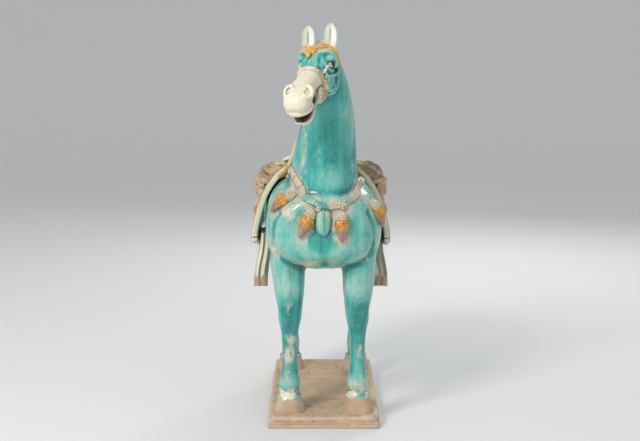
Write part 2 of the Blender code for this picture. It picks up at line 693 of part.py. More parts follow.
def trim(skin, clay):
    """The body with everything modelled on it, as one clay form."""
    bm = bmesh.new()
    bm.from_mesh(clay)
    for base, tip in (((-27, -180, 650), (-27, -171, 688)), ((11, -178, 654), (12, -167, 693))):
        ear(bm, base, tip, 12.5)
    for hand in (-1, 1):
        face(bm, hand)
        gathers(bm, hand)
        knot(bm, hand)
        flap(bm, hand)
        hoof(bm, FORE_HOOF, hand)
        hoof(bm, HIND_HOOF, hand)
    lips(bm)
    rosette(bm)
    bridle(bm, skin)
    mane(bm)
    tail(bm)
    blanket(bm)
    saddle(bm)
    breast_collar(bm, skin)
    crupper(bm, skin)
    return fused(bm, FINE_VOXEL, 1)


def on_head(place):
    """Whether a place in metres is on the head."""
    return (place - spot(*HEAD_MIDDLE)).length < HEAD_REACH * UNIT


def facet_count(mesh, chosen=lambda place: True):
    return sum(len(polygon.vertices) - 2 for polygon in mesh.polygons if chosen(polygon.center))


def thinned(mesh, kept, chosen):
    """The mesh with a number of facets kept in all, taken only from where chosen says so."""
    body = bpy.data.objects.new("thinned", mesh)
    bpy.context.scene.collection.objects.link(body)
    spare = body.vertex_groups.new(name="spare")
    spare.add([vertex.index for vertex in mesh.vertices if chosen(vertex.co)], 1.0, "REPLACE")
    thin = body.modifiers.new("thin", "DECIMATE")
    thin.ratio = min(1.0, kept / facet_count(mesh))
    thin.vertex_group = spare.name
    thin.vertex_group_factor = 1.0
    return baked(body)


def lightened(mesh):
    """The mesh with only as many facets as its forms need: fewer on the body, more on the head."""
    mesh = thinned(mesh, BODY_FACETS + facet_count(mesh, on_head), lambda place: not on_head(place))
    return thinned(mesh, BODY_FACETS + HEAD_FACETS, on_head)


def slab():
    """The slab under the hooves, with softened edges, as an object of its own until it is joined on."""
    half_width = (max(FORE_HOOF[0], HIND_HOOF[0]) + HOOF_HALF_WIDTH) * UNIT + SLAB_SIDE_MARGIN
    front = (FORE_HOOF[1] - FORE_HOOF[2]) * UNIT - SLAB_FRONT_MARGIN
    back = (HIND_HOOF[1] + HIND_HOOF[2]) * UNIT + SLAB_BACK_MARGIN
    bm = bmesh.new()
    size = Matrix.Diagonal((2 * half_width, back - front, SLAB_THICKNESS, 1))
    middle = Matrix.Translation((0, (front + back) / 2, SLAB_THICKNESS / 2))
    bmesh.ops.create_cube(bm, size=1, matrix=middle @ size)
    upright = [edge for edge in bm.edges if abs(edge.verts[0].co.z - edge.verts[1].co.z) > SLAB_THICKNESS / 2]
    bmesh.ops.bevel(bm, geom=upright, offset=SLAB_EDGE_RADIUS * 2, segments=3, profile=0.5, affect="EDGES")
    top = [edge for edge in bm.edges if all(vertex.co.z > SLAB_THICKNESS / 2 for vertex in edge.verts)
           and len(edge.link_faces) == 2 and any(abs(face.normal.z) < 0.5 for face in edge.link_faces)]
    bmesh.ops.bevel(bm, geom=top, offset=SLAB_EDGE_RADIUS, segments=2, profile=0.5, affect="EDGES")
    mesh = bpy.data.meshes.new("slab")
    bm.to_mesh(mesh)
    bm.free()
    body = bpy.data.objects.new("slab", mesh)
    bpy.context.scene.collection.objects.link(body)
    return body


def glaze():
    """Turquoise lead glaze."""
    material = bpy.data.materials.new("turquoise_glaze")
    material.use_nodes = True
    shader = material.node_tree.nodes["Principled BSDF"]
    shader.inputs["Base Color"].default_value = (0.10, 0.42, 0.38, 1)
    shader.inputs["Roughness"].default_value = 0.30
    shader.inputs["Metallic"].default_value = 0.0
    return material


def main():
    for old in list(bpy.data.objects):
        bpy.data.objects.remove(old)
    body = flesh()
    carve_flesh(body)
    modelled = trim(Skin(body), body)
    bpy.data.meshes.remove(body)
    horse = bpy.data.objects.new("sancai_horse", lightened(modelled))
    bpy.context.scene.collection.objects.link(horse)
    base = slab()
    join = horse.modifiers.new("lute_to_slab", "BOOLEAN")
    join.operation = "UNION"
    join.solver = "EXACT"
    join.object = base
    mesh = baked(horse)
    bpy.data.objects.remove(base)
    horse = bpy.data.objects.new("sancai_horse", mesh)
    bpy.context.scene.collection.objects.link(horse)
    mesh.materials.clear()
    mesh.materials.append(glaze())
    mesh.shade_smooth()
    mesh.set_sharp_from_angle(angle=math.radians(50))


main()
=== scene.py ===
"""Looks of a glazed pottery horse of the Tang kind: modelled body, tack, ornaments and three-colour glazes.

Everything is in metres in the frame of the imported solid. The horse faces -Y and its left side is +X. Forms
are written in the figure's own units, 693rds of its height, with z counted from the slab's top.
"""
import math

import bmesh
import bpy
import numpy as np
from mathutils import Matrix, Vector, noise
from mathutils.bvhtree import BVHTree


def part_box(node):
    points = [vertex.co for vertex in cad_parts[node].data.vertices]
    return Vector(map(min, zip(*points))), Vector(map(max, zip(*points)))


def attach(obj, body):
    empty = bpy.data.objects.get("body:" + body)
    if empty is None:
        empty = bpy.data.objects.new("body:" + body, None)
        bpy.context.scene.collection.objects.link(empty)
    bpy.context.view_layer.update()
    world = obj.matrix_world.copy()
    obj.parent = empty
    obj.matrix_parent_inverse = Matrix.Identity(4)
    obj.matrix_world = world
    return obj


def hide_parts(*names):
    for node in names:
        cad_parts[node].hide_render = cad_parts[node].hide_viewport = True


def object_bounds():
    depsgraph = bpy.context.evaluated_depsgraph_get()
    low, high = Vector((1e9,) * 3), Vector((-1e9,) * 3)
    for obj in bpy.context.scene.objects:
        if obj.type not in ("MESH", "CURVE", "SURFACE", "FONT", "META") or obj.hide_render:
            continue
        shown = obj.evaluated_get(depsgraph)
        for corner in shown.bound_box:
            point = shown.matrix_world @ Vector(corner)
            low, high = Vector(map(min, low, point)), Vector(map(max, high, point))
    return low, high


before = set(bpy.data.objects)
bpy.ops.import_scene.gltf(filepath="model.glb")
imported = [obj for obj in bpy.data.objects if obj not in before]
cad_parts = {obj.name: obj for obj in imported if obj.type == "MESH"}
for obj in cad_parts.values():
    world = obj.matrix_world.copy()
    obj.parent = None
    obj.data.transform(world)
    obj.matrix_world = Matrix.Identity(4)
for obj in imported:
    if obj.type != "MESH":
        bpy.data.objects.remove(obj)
CAD_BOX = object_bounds()

NODE = "sancai_horse"
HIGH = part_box(NODE)[1]

# Sizes in metres
SLAB_THICKNESS = 0.020
HOOF_SINK = 0.004
CLOTH_THICKNESS = 0.0075
HEM_RADIUS = 0.0045
STRAP_WIDTH = 0.013
STRAP_THICKNESS = 0.0055
PLAQUE_LENGTH = 0.022
PLAQUE_GAP = 0.0025
PENDANT_LENGTH = 0.054
PENDANT_WIDTH = 0.024
HIGH_SLAB = 0.210
LOW_SLAB = -0.210

# How finely the clay is worked
ROUGH_VOXEL = 0.0027
BODY_VOXEL = 0.0016
TRIM_VOXEL = 0.0015
SLAB_VOXEL = 0.0022
BODY_FACETS = 185000

# The figure's own units
FIGURE_UNITS = 693
UNIT = (HIGH.z - SLAB_THICKNESS) / FIGURE_UNITS

# The head's place: its poll, how far it turns to the horse's right, and its slope from the vertical
POLL = (-6.5, -176, 652)
HEAD_TURN = math.radians(21)
HEAD_SLOPE = math.radians(49)

# An eyeball's middle: side, front and down from the poll
EYE = (22.5, -10.5, 32)

# Where the legs stand: side, front and heel-to-toe half length of the hooves
FORE_HOOF = (62, -165, 31)
HIND_HOOF = (67, 138, 31)
HOOF_HALF_WIDTH = 28

# Height over which the hooves' glazes are told apart
FOOT_REACH = 60

# Camera, at the photograph's viewing angle
CAMERA_PLACE = (-0.0065, -2.24, 0.646)
CAMERA_PITCH = math.radians(7.65)
CAMERA_FOCUS = 1180          # focal length in pixels of the frame
FRAME_WIDTH = 640
SENSOR_WIDTH = 36

# The paper dish that the horse stands in: its level, flat reach and rising rim
FLOOR_LEVEL = -0.0005
FLOOR_FLAT = 4.5
FLOOR_RISE = 2.5
PAPER_COLOUR = (0.80, 0.80, 0.79, 1)

# The sky, and the lamps: name, place, aim, size, power in watts and colour
SKY_COLOUR = (0.90, 0.93, 0.97, 1)
SKY_STRENGTH = 0.58
LAMPS = [("key", (-1.25, -1.75, 1.75), (0, -0.05, 0.40), 0.7, 36, (1.0, 0.97, 0.92)),
         ("fill", (1.9, -1.6, 0.9), (0, 0, 0.35), 1.6, 4, (0.92, 0.96, 1.0)),
         ("back", (0.6, 1.9, 1.6), (0, 0, 0.4), 1.0, 16, (1.0, 0.98, 0.95))]

# Names and hands of the horse's two sides
SIDES = (("right", -1), ("left", 1))


def spot(x, y, z):
    """A place on the figure, from its own units."""
    return Vector((x * UNIT, y * UNIT, z * UNIT + SLAB_THICKNESS))


def sided(rows, hand, shift=0):
    """Rows for the horse's left (1) or right (-1): each row's first number is turned and then shifted."""
    return [(row[0] * hand + shift, *row[1:]) for row in rows]


def head_axes():
    """The head's side, front and down-the-nose directions as the columns of a matrix."""
    turn_sin, turn_cos = math.sin(HEAD_TURN), math.cos(HEAD_TURN)
    slope_sin, slope_cos = math.sin(HEAD_SLOPE), math.cos(HEAD_SLOPE)
    side = Vector((turn_cos, -turn_sin, 0))
    front = Vector((-turn_sin * slope_cos, -turn_cos * slope_cos, slope_sin))
    return Matrix((side, front, side.cross(front))).transposed()


def head_units(side, front, down):
    """A place on the head, given from the poll, in the figure's units."""
    return Vector(POLL) + head_axes() @ Vector((side, front, down))


def head_spot(side, front, down):
    """A place on the head, from the poll, in metres."""
    return spot(*head_units(side, front, down))


def smooth_rows(rows, steps):
    """Rows of numbers made finer along a Catmull-Rom curve through them."""
    fine = []
    last = len(rows) - 1
    for index in range(last):
        before, start = rows[max(index - 1, 0)], rows[index]
        end, after = rows[index + 1], rows[min(index + 2, last)]
        for step in range(steps):
            t = step / steps
            fine.append(tuple(
                0.5 * (2 * b + (c - a) * t + (2 * a - 5 * b + 4 * c - d) * t * t
                       + (3 * b - a - 3 * c + d) * t * t * t)
                for a, b, c, d in zip(before, start, end, after)))
    fine.append(tuple(rows[last]))
    return fine


def close_rings(bm, rings, looped=False):
    """Faces between rings of points, with a cap on each end unless the rings form a loop."""
    loops = [[bm.verts.new(point) for point in ring] for ring in rings]
    pairs = list(zip(loops, loops[1:]))
    if looped:
        pairs.append((loops[-1], loops[0]))
    else:
        bm.faces.new(loops[0])
        bm.faces.new(reversed(loops[-1]))
    for low, high in pairs:
        for index in range(len(low)):
            after = (index + 1) % len(low)
            bm.faces.new((low[index], low[after], high[after], high[index]))


def oval_ring(centre, side, depth, half_side, half_depth, corners, power):
    """Points of an oval, squarer as its power grows, in metres."""
    ring = []
    for corner in range(corners):
        angle = math.tau * corner / corners
        across = math.copysign(abs(math.cos(angle)) ** (2 / power), math.cos(angle))
        along = math.copysign(abs(math.sin(angle)) ** (2 / power), math.sin(angle))
        ring.append(centre + side * (across * half_side) + depth * (along * half_depth))
    return ring


def limb(bm, rows, side=(1, 0, 0), steps=5, corners=32, power=2.0, place=spot):
    """A tapered form along a path: rows of x, y, z, half width along side, and half depth, in units."""
    rows = smooth_rows(rows, steps)
    centres = [place(*row[:3]) for row in rows]
    rings = []
    for index, row in enumerate(rows):
        ahead = centres[min(index + 1, len(rows) - 1)] - centres[max(index - 1, 0)]
        ahead.normalize()
        across = Vector(side) - ahead * ahead.dot(Vector(side))
        across.normalize()
        deep = ahead.cross(across)
        rings.append(oval_ring(centres[index], across, deep, row[3] * UNIT, row[4] * UNIT, corners, power))
    close_rings(bm, rings)


def blob(bm, centre, radii, axes=None, rings=16, corners=28):
    """An ellipsoid: centre and radii in units, along the world's axes or the columns of a matrix."""
    stretch = Matrix.Diagonal([radius * UNIT for radius in radii]).to_4x4()
    turn = axes.to_4x4() if axes else Matrix.Identity(4)
    bmesh.ops.create_uvsphere(bm, u_segments=corners, v_segments=rings, radius=1,
                              matrix=Matrix.Translation(spot(*centre)) @ turn @ stretch)


def tube(bm, points, radii, corners=12, steps=5):
    """A round cord through points in units, with a radius in units at each."""
    rows = [(*point, radius, radius) for point, radius in zip(points, radii)]
    run = Vector(points[-1]) - Vector(points[0])
    side = (1, 0, 0) if abs(run.x) < 0.8 * run.length else (0, 0, 1)
    limb(bm, rows, side, steps, corners)


def head_tube(bm, points, radii, corners=12, steps=5):
    """A cord on the head, through points given from the poll."""
    tube(bm, [tuple(head_units(*row)) for row in points], radii, corners, steps)


def to_mesh(bm):
    mesh = bpy.data.meshes.new("form")
    bm.to_mesh(mesh)
    bm.free()
    return mesh


def ring_mesh(rings, looped=False):
    bm = bmesh.new()
    close_rings(bm, rings, looped)
    return to_mesh(bm)


def baked(mesh, *steps):
    """The mesh as a row of modifiers leaves it: each step is a modifier's kind and its settings."""
    body = bpy.data.objects.new("form", mesh)
    bpy.context.scene.collection.objects.link(body)
    for kind, settings in steps:
        modifier = body.modifiers.new(kind.lower(), kind)
        for name, value in settings.items():
            setattr(modifier, name, value)
    graph = bpy.context.evaluated_depsgraph_get()
    result = bpy.data.meshes.new_from_object(body.evaluated_get(graph))
    bpy.data.objects.remove(body)
    bpy.data.meshes.remove(mesh)
    return result


def fused(bm, voxel, smoothing):
    """The forms in a bmesh made into one clay body, with its creases softened by a number of passes."""
    return baked(to_mesh(bm), ("REMESH", {"mode": "VOXEL", "voxel_size": voxel}),
                 ("SMOOTH", {"factor": 0.5, "iterations": smoothing}))


# Reading and working a mesh's surface

def point_values(mesh, name):
    values = np.empty(len(mesh.vertices) * 3, dtype=np.float32)
    mesh.vertices.foreach_get(name, values)
    return values.reshape(-1, 3)


def positions(mesh):
    return point_values(mesh, "co")


def normals_of(mesh):
    return point_values(mesh, "normal")


def set_positions(mesh, places):
    mesh.vertices.foreach_set("co", places.astype(np.float32).ravel())
    mesh.update()


def paint(mesh, name, values):
    """Stores one number for each of the mesh's points, for its glaze to read."""
    layer = mesh.attributes.new(name, "FLOAT", "POINT")
    layer.data.foreach_set("value", np.asarray(values, dtype=np.float32))


def in_units(places):
    """Places in metres as the figure's own units."""
    return (places - np.array((0, 0, SLAB_THICKNESS))) / UNIT


def in_head(places):
    """Places in metres as the head's side, front and down, in units from the poll."""
    return (in_units(places) - np.array(POLL)) @ np.array(head_axes())


def ramp_up(values, low, high):
    """0 below low and 1 above high, with a smooth rise between."""
    share = np.clip((values - low) / (high - low), 0, 1)
    return share * share * (3 - 2 * share)


def near(places, centre, radii):
    """1 at a centre in units, fading to 0 at an ellipsoid's edge."""
    away = (in_units(places) - np.array(centre)) / np.array(radii)
    return np.clip(1 - (away * away).sum(axis=1), 0, 1)


def surface_path(skin, points, place=spot):
    """A smooth curve through points in units, dropped on the surface, in metres."""
    return np.array([skin.nearest(place(*row))[0] for row in smooth_rows(points, 6)])


def path_gap(places, path, reach):
    """How far each place is from a path, both in metres; endless beyond a reach in units."""
    low, high = path.min(axis=0) - reach * UNIT, path.max(axis=0) + reach * UNIT
    chosen = np.flatnonzero(((places > low) & (places < high)).all(axis=1))
    some = places[chosen]
    gap = np.full(len(some), np.inf)
    for start, end in zip(path, path[1:]):
        run = end - start
        share = np.clip(((some - start) @ run) / (run @ run), 0, 1)
        gap = np.minimum(gap, np.linalg.norm(some - start - share[:, None] * run, axis=1))
    nearest = np.full(len(places), np.inf)
    nearest[chosen] = gap
    return nearest


def units_from(skin, places, points, reach, place=spot):
    """How far each place is from a path on the skin, in units; endless beyond the reach."""
    return path_gap(places, surface_path(skin, points, place), reach) / UNIT


def hollows(mesh, rounds):
    """How sunk each point lies below its surroundings, in metres; negative on ridges."""
    ends = np.empty(len(mesh.edges) * 2, dtype=np.int64)
    mesh.edges.foreach_get("vertices", ends)
    first, second = ends[0::2], ends[1::2]
    places = positions(mesh).astype(np.float64)
    count = len(places)
    links = np.bincount(first, minlength=count) + np.bincount(second, minlength=count)
    smooth = places.copy()
    for _ in range(rounds):
        summed = np.empty_like(smooth)
        for axis in range(3):
            summed[:, axis] = (np.bincount(first, smooth[second, axis], count)
                               + np.bincount(second, smooth[first, axis], count))
        smooth = summed / np.maximum(links, 1)[:, None]
    return ((smooth - places) * normals_of(mesh)).sum(axis=1)


def paint_hollows(mesh, rounds, depth):
    """Paints how sunk each point lies, as a share of a depth in metres."""
    paint(mesh, "hollow", np.clip(hollows(mesh, rounds) / depth, -1, 1))


class Skin:
    """The clay body's surface, which straps and ornaments are laid on."""

    def __init__(self, mesh):
        corners = [vertex.co for vertex in mesh.vertices]
        self.tree = BVHTree.FromPolygons(corners, [polygon.vertices for polygon in mesh.polygons])

    def nearest(self, place):
        """The nearest surface point to a place in metres, and the outward normal there."""
        point, normal, _, _ = self.tree.find_nearest(place)
        return point, normal


class Carving:
    """A mesh whose points are pressed and furrowed, with the surface that it had before."""

    def __init__(self, mesh):
        self.mesh = mesh
        self.skin = Skin(mesh)
        self.places = positions(mesh)
        self.normals = normals_of(mesh)

    def press(self, centre, radii, push):
        """Moves the points inside an ellipsoid by push, fading to its edge; all in units."""
        fade = near(self.places, centre, radii) ** 2
        self.places += fade[:, None] * (np.array(push) * UNIT)

    def furrow(self, points, reach, depth, place=spot):
        """Sinks a groove that fades at its ends along a path, or raises a ridge where depth is negative."""
        path = surface_path(self.skin, points, place)
        gap = path_gap(self.places, path, reach)
        fade = np.clip(1 - (gap / (reach * UNIT)) ** 2, 0, 1) ** 2
        for end in (path[0], path[-1]):
            fade *= ramp_up(np.linalg.norm(self.places - end, axis=1), 0, 1.5 * reach * UNIT)
        self.places -= self.normals * (fade * depth * UNIT)[:, None]

    def done(self):
        set_positions(self.mesh, self.places)


def laid_path(skin, points, steps=6, looped=False, place=spot):
    """Surface points and normals under a smooth curve through points in units."""
    if looped:
        points = [*points, points[0]]
    laid = [skin.nearest(place(*row)) for row in smooth_rows(points, steps)]
    return laid[:-1] if looped else laid


def eased(laid, rounds=4):
    """A laid path with its points and normals averaged along it, so that what follows it doesn't jitter."""
    points = [point for point, _ in laid]
    normals = [normal for _, normal in laid]
    last = len(laid) - 1
    for _ in range(rounds):
        points = [points[i] if i in (0, last) else (points[i - 1] + points[i] * 2 + points[i + 1]) / 4
                  for i in range(last + 1)]
        for _ in range(2):
            normals = [(normals[max(i - 1, 0)] + normals[i] + normals[min(i + 1, last)]).normalized()
                       for i in range(last + 1)]
    return list(zip(points, normals))


def directions(points, index, looped=False):
    count = len(points)
    if looped:
        return (points[(index + 1) % count] - points[index - 1]).normalized()
    return (points[min(index + 1, count - 1)] - points[max(index - 1, 0)]).normalized()


def strap(bm, laid, width, thickness, looped=False, corners=16):
    """A band that lies on the skin along a path, half sunk in it."""
    points = [point for point, _ in laid]
    rings = []
    for index, (point, normal) in enumerate(laid):
        ahead = directions(points, index, looped)
        across = ahead.cross(normal).normalized()
        rings.append(oval_ring(point, across, normal, width / 2, thickness, corners, 3))
    close_rings(bm, rings, looped)


def place_along(laid, distance):
    """The point, normal and direction at a distance along a laid path."""
    points = [point for point, _ in laid]
    for index in range(1, len(laid)):
        step = (points[index] - points[index - 1]).length
        if distance <= step or index == len(laid) - 1:
            share = min(1.0, distance / step)
            point = points[index - 1].lerp(points[index], share)
            normal = laid[index - 1][1].lerp(laid[index][1], share).normalized()
            return point, normal, directions(points, index)
        distance -= step


def bead_mesh(beads, corners=10, rings=6):
    """Round beads as one mesh; each bead is a place and a radius in metres."""
    bm = bmesh.new()
    bmesh.ops.create_uvsphere(bm, u_segments=corners, v_segments=rings, radius=1)
    pattern = to_mesh(bm)
    shape = positions(pattern)
    faces = [tuple(polygon.vertices) for polygon in pattern.polygons]
    points, all_faces = [], []
    for place, radius in beads:
        all_faces.extend(tuple(corner + len(points) for corner in face) for face in faces)
        points.extend(map(tuple, shape * radius + np.array(place)))
    bpy.data.meshes.remove(pattern)
    mesh = bpy.data.meshes.new("beads")
    mesh.from_pydata(points, [], all_faces)
    return mesh


def run_length(laid):
    return sum((after[0] - before[0]).length for before, after in zip(laid, laid[1:]))


# The body

def trunk(bm):
    rows = [(0, -214, 330, 40, 36), (0, -206, 330, 66, 54), (0, -190, 332, 85, 67), (0, -165, 334, 96, 76),
            (0, -125, 338, 102, 83), (-1, -75, 344, 103, 86), (-3, -20, 345, 105, 85), (-5, 40, 350, 106, 82),
            (-6, 90, 356, 107, 83), (-7, 135, 362, 107, 85), (-7, 172, 360, 98, 81), (-6, 200, 354, 74, 66),
            (-5, 214, 352, 42, 40)]
    limb(bm, rows, corners=48, power=2.2)
    blob(bm, (0, -62, 424), (30, 62, 28))
    blob(bm, (-6, 152, 410), (62, 52, 42))


def neck(bm):
    rows = [(0, -108, 330, 78, 84), (0, -114, 380, 70, 88), (1, -119, 420, 62, 79), (3, -124, 460, 57, 68),
            (7, -130, 500, 51, 60), (9, -137, 540, 45, 53), (7, -144, 580, 38, 48), (1, -152, 615, 31, 42),
            (-5, -162, 642, 26, 32), (-6, -168, 658, 19, 20)]
    limb(bm, rows, corners=44, power=2.1)


def chest_and_quarters(bm, hand):
    """Shoulder, breast, haunch and elbow of one side; hand is 1 for the horse's left and -1 for its right."""
    blob(bm, (56 * hand, -128, 328), (49, 58, 76))
    blob(bm, (38 * hand, -176, 318), (50, 36, 48))
    blob(bm, (62 * hand - 6, 138, 336), (60, 68, 78))
    blob(bm, (70 * hand - 4, 108, 278), (38, 42, 52))
    blob(bm, (70 * hand, -104, 282), (28, 34, 40))


def fore_leg(bm, hand):
    rows = [(58, -124, 318, 36, 48), (62, -138, 284, 33, 41), (63, -146, 255, 30, 34),
            (62, -151, 225, 28, 29), (61, -153, 200, 24.5, 24.5), (60, -156, 184, 21.8, 22.5),
            (61, -159, 168, 21, 22.5), (61, -158, 150, 17, 18), (61, -156, 125, 14.5, 16),
            (61, -156, 100, 14.5, 16), (61, -158, 75, 15, 17), (61, -160, 52, 19.5, 20.5),
            (62, -161, 38, 18, 18), (62, -163, 24, 20, 21), (62, -164, 8, 21, 23)]
    limb(bm, sided(rows, hand), corners=28)
    blob(bm, (61 * hand, -167, 172), (15, 13, 30))
    blob(bm, (61 * hand, -140, 158), (10, 12, 16))
    blob(bm, (61 * hand, -144, 48), (11, 10, 13))


def hind_leg(bm, hand):
    rows = [(62, 132, 330, 48, 66), (69, 122, 280, 42, 54), (72, 120, 240, 37, 44), (73, 128, 205, 33, 36),
            (72, 143, 172, 27, 28), (70, 158, 144, 20, 23), (68, 165, 122, 19.5, 23.5),
            (67, 161, 100, 15.5, 17.5), (66, 157, 75, 14.5, 16), (67, 152, 52, 18.5, 20),
            (67, 146, 38, 17.5, 18), (67, 142, 24, 19.5, 20.5), (67, 140, 8, 21, 23)]
    limb(bm, sided(rows, hand), corners=28)
    blob(bm, (69 * hand, 182, 138), (11, 13, 20))
    blob(bm, (67 * hand, 168, 48), (11, 10, 13))


def head(bm):
    """Skull, nose and muzzle, with the jaw hanging open."""
    axes = head_axes()
    side = axes.col[0]
    skull = [(0, -16, -8, 15, 13), (0, -15, 0, 24, 20), (0, -15, 12, 31, 22), (0, -16, 24, 31, 24),
             (0, -18, 36, 28, 25), (-1, -18, 50, 24, 24), (-2, -15, 64, 21, 21), (-3, -11, 80, 20, 18),
             (-4, -8, 96, 21, 17.5), (-4, -6, 112, 23.5, 18), (-4, -6, 126, 25, 18.5), (-4, -7, 138, 24, 17),
             (-4, -9, 147, 20, 13), (-4, -10, 153, 12, 8)]
    limb(bm, skull, side, corners=36, power=2.2, place=head_spot)
    jaw = [(0, -34, 30, 20, 24), (0, -42, 48, 22, 25), (0, -42, 68, 18, 19), (0, -41, 88, 14, 12.5),
           (-1, -42, 108, 14, 9.5), (-2, -45, 124, 17, 8.5), (-3, -46, 138, 16.5, 7.5), (-3, -46, 146, 10, 5)]
    limb(bm, jaw, side, corners=28, power=2.2, place=head_spot)
    for hand in (-1, 1):
        blob(bm, head_units(20 * hand, -40, 48), (13, 24, 25), axes)
        blob(bm, head_units(24 * hand, -6, 25), (11, 11, 15), axes)
        blob(bm, head_units(17 * hand - 3, 1, 116), (10, 11, 14), axes)
    blob(bm, head_units(0, -42, 20), (26, 30, 26), axes)


def soft_forms():
    """The bare body as one softened clay form."""
    bm = bmesh.new()
    trunk(bm)
    neck(bm)
    head(bm)
    for hand in (-1, 1):
        chest_and_quarters(bm, hand)
        fore_leg(bm, hand)
        hind_leg(bm, hand)
    return fused(bm, ROUGH_VOXEL, 14)


def hoof(bm, place, hand):
    """A hoof that widens to the ground, under the swollen ring of the coronet."""
    side, front, half_length = place
    x = side * hand
    rows = [(x, front + shift, level, HOOF_HALF_WIDTH * wide, half_length * long)
            for shift, level, wide, long in ((0, -HOOF_SINK / UNIT, 1, 1), (1, 8, 0.95, 0.95),
                                             (3, 18, 0.83, 0.84), (5, 25, 0.76, 0.76))]
    limb(bm, rows, (1, 0, 0), 4, 36, 2.3)
    blob(bm, (x, front + 5, 27), (HOOF_HALF_WIDTH * 0.82, half_length * 0.80, 5), None, 12, 36)


def brow_and_nostril(bm, hand):
    """Brow, cheek ridge, lids and nostril rim of one side."""
    def line(points, radii):
        head_tube(bm, sided(points, hand), radii)

    line([(12, 8, 24), (19, 7, 19), (27, 0, 18), (33, -10, 22), (33, -20, 32)], (3.5, 5.0, 5.6, 5.0, 3))
    line([(14, 3, 26), (21, 0, 22), (28, -6, 24), (31, -13, 30)], (1.6, 2.4, 2.4, 1.6))
    line([(14, 6, 17), (23, 0, 13), (30, -10, 15)], (4.5, 5.5, 4.5))
    line([(30, -22, 38), (27, -14, 43), (21, -4, 43), (14, 3, 37)], (2.5, 3, 3, 2.5))
    line([(20, -6, 52), (25, -18, 56), (24, -30, 58)], (2.5, 3.5, 2.5))
    line([(31, -34, 26), (33, -46, 44), (28, -54, 62)], (3, 4.5, 3))
    line([(10, 14, 117), (18, 13, 116), (23.5, 8, 122), (22.5, 5, 131), (15, 7, 135), (9, 12, 129)],
         (3, 4, 4.5, 4, 3.5, 2.5))


def lips(bm):
    """Upper lip's edge and the rim of the open lower lip, with the tongue between them."""
    upper = [(-25, -19, 124), (-23, -20, 137), (-14, -19, 147), (-4, -18, 150), (7, -19, 147), (16, -20, 137),
             (18, -19, 124)]
    head_tube(bm, upper, (3.5, 4.5, 5, 5.5, 5, 4.5, 3.5))
    lower = [(-17, -40, 116), (-18, -43, 130), (-12, -43, 142), (-3, -42, 146), (6, -43, 142), (13, -43, 130),
             (13, -40, 116)]
    head_tube(bm, lower, (2.5, 3.2, 3.5, 3.5, 3.5, 3.2, 2.5))
    blob(bm, head_units(-3, -37, 118), (9, 4, 20), head_axes())


# One side's furrows on the body: how far each reaches, how deep it goes, and its points
BODY_FURROWS = [(11, 4, [(70, -190, 372), (84, -176, 330), (80, -166, 288)]),
                (15, 4, [(99, -70, 400), (104, -84, 350), (98, -92, 300)]),
                (16, 5, [(96, 74, 400), (108, 84, 350), (98, 86, 290)]),
                (10, 3, [(98, 196, 340), (102, 176, 280), (96, 160, 230)]),
                (19, 1.6, [(48, -150, 560), (56, -146, 500), (58, -168, 440)])]

# One side's hollows on the head: shift and place from the poll, radii, and push along the head's axes
HEAD_HOLLOWS = [(-3, (18, 10, 126), (7, 7, 7), (-2, -4, 1)), (0, (29, -10, 33), (11, 11, 10), (-7, -2, 0)),
                (0, (24, -12, 58), (12, 12, 16), (-4, 0, 0))]

# One side's creases and ridges on the face, from the poll: shift, reach, depth and points
FACE_CREASES = [(-3, 3, 1.4, [(17, -22, 104), (22, -19, 114), (22, -14, 122)]),
                (-3, 3.4, 1.1, [(22, 2, 98), (24, -4, 108), (25, -10, 116)]),
                (0, 4, 1.1, [(9, 6, 30), (12, 3, 48), (13, 1, 60)]),
                (0, 4, 1.6, [(30, -34, 40), (28, -40, 56), (21, -46, 74)]),
                (0, 2.2, 1.0, [(25, -2, 36), (31, -11, 40), (32, -19, 39)]),
                (0, 4.5, -1.5, [(25, -16, 50), (25, -26, 60), (22, -34, 74)]),
                (0, 4.5, -1.6, [(33, -30, 46), (30, -44, 56), (22, -52, 72)])]


def carve_soft(mesh):
    """Muscle furrows and the hollows of the head, worked into the soft clay."""
    clay = Carving(mesh)
    clay.furrow([(1, -220, 392), (2, -216, 340), (2, -200, 280), (2, -150, 258)], 13, 2.6)
    for hand in (-1, 1):
        for reach, depth, points in BODY_FURROWS:
            clay.furrow(sided(points, hand), reach, depth)
        for shift, place, radii, push in HEAD_HOLLOWS:
            centre, = sided([place], hand, shift)
            turned, = sided([push], hand)
            clay.press(head_units(*centre), radii, head_axes() @ Vector(turned))
    clay.done()


def nostril(hand):
    """The comma-shaped slit of one nostril, from the poll."""
    return sided([(15, 13, 118), (17, 11, 122), (16.5, 9, 128), (14, 9, 131)], hand, -3)


def carve_fine(mesh):
    """Creases that are cut last: mouth, nostrils, nose, lids, cheeks, shoulders and tendons."""
    clay = Carving(mesh)
    for hand in (-1, 1):
        clay.furrow(nostril(hand), 2.4, 1.5, head_spot)
        for shift, reach, depth, points in FACE_CREASES:
            clay.furrow(sided(points, hand, shift), reach, depth, head_spot)
        for across in (-7, 7):
            fore = [(61 + across, -150, 140), (61 + across, -146, 100), (61 + across, -148, 66)]
            hind = [(67 + across, 172, 108), (66 + across, 168, 84), (67 + across, 162, 62)]
            clay.furrow(sided(fore, hand), 4.5, 1.3)
            clay.furrow(sided(hind, hand), 4.5, 1.3)
        clay.furrow(sided([(86, -196, 380), (97, -182, 340), (92, -170, 296)], hand), 6, 0.8)
    clay.furrow([(-3, 8, 100), (-4, 10, 112), (-4, 11, 126)], 6, 0.8, head_spot)
    lip = [(-26, -16, 128), (-16, -13, 144), (-4, -11, 151), (8, -13, 144), (18, -16, 128)]
    clay.furrow(lip, 3.4, 0.6, head_spot)
    clay.done()


def on_head(place):
    """Whether a place in metres is on the head."""
    return (place - spot(*head_units(0, -10, 70))).length < 90 * UNIT


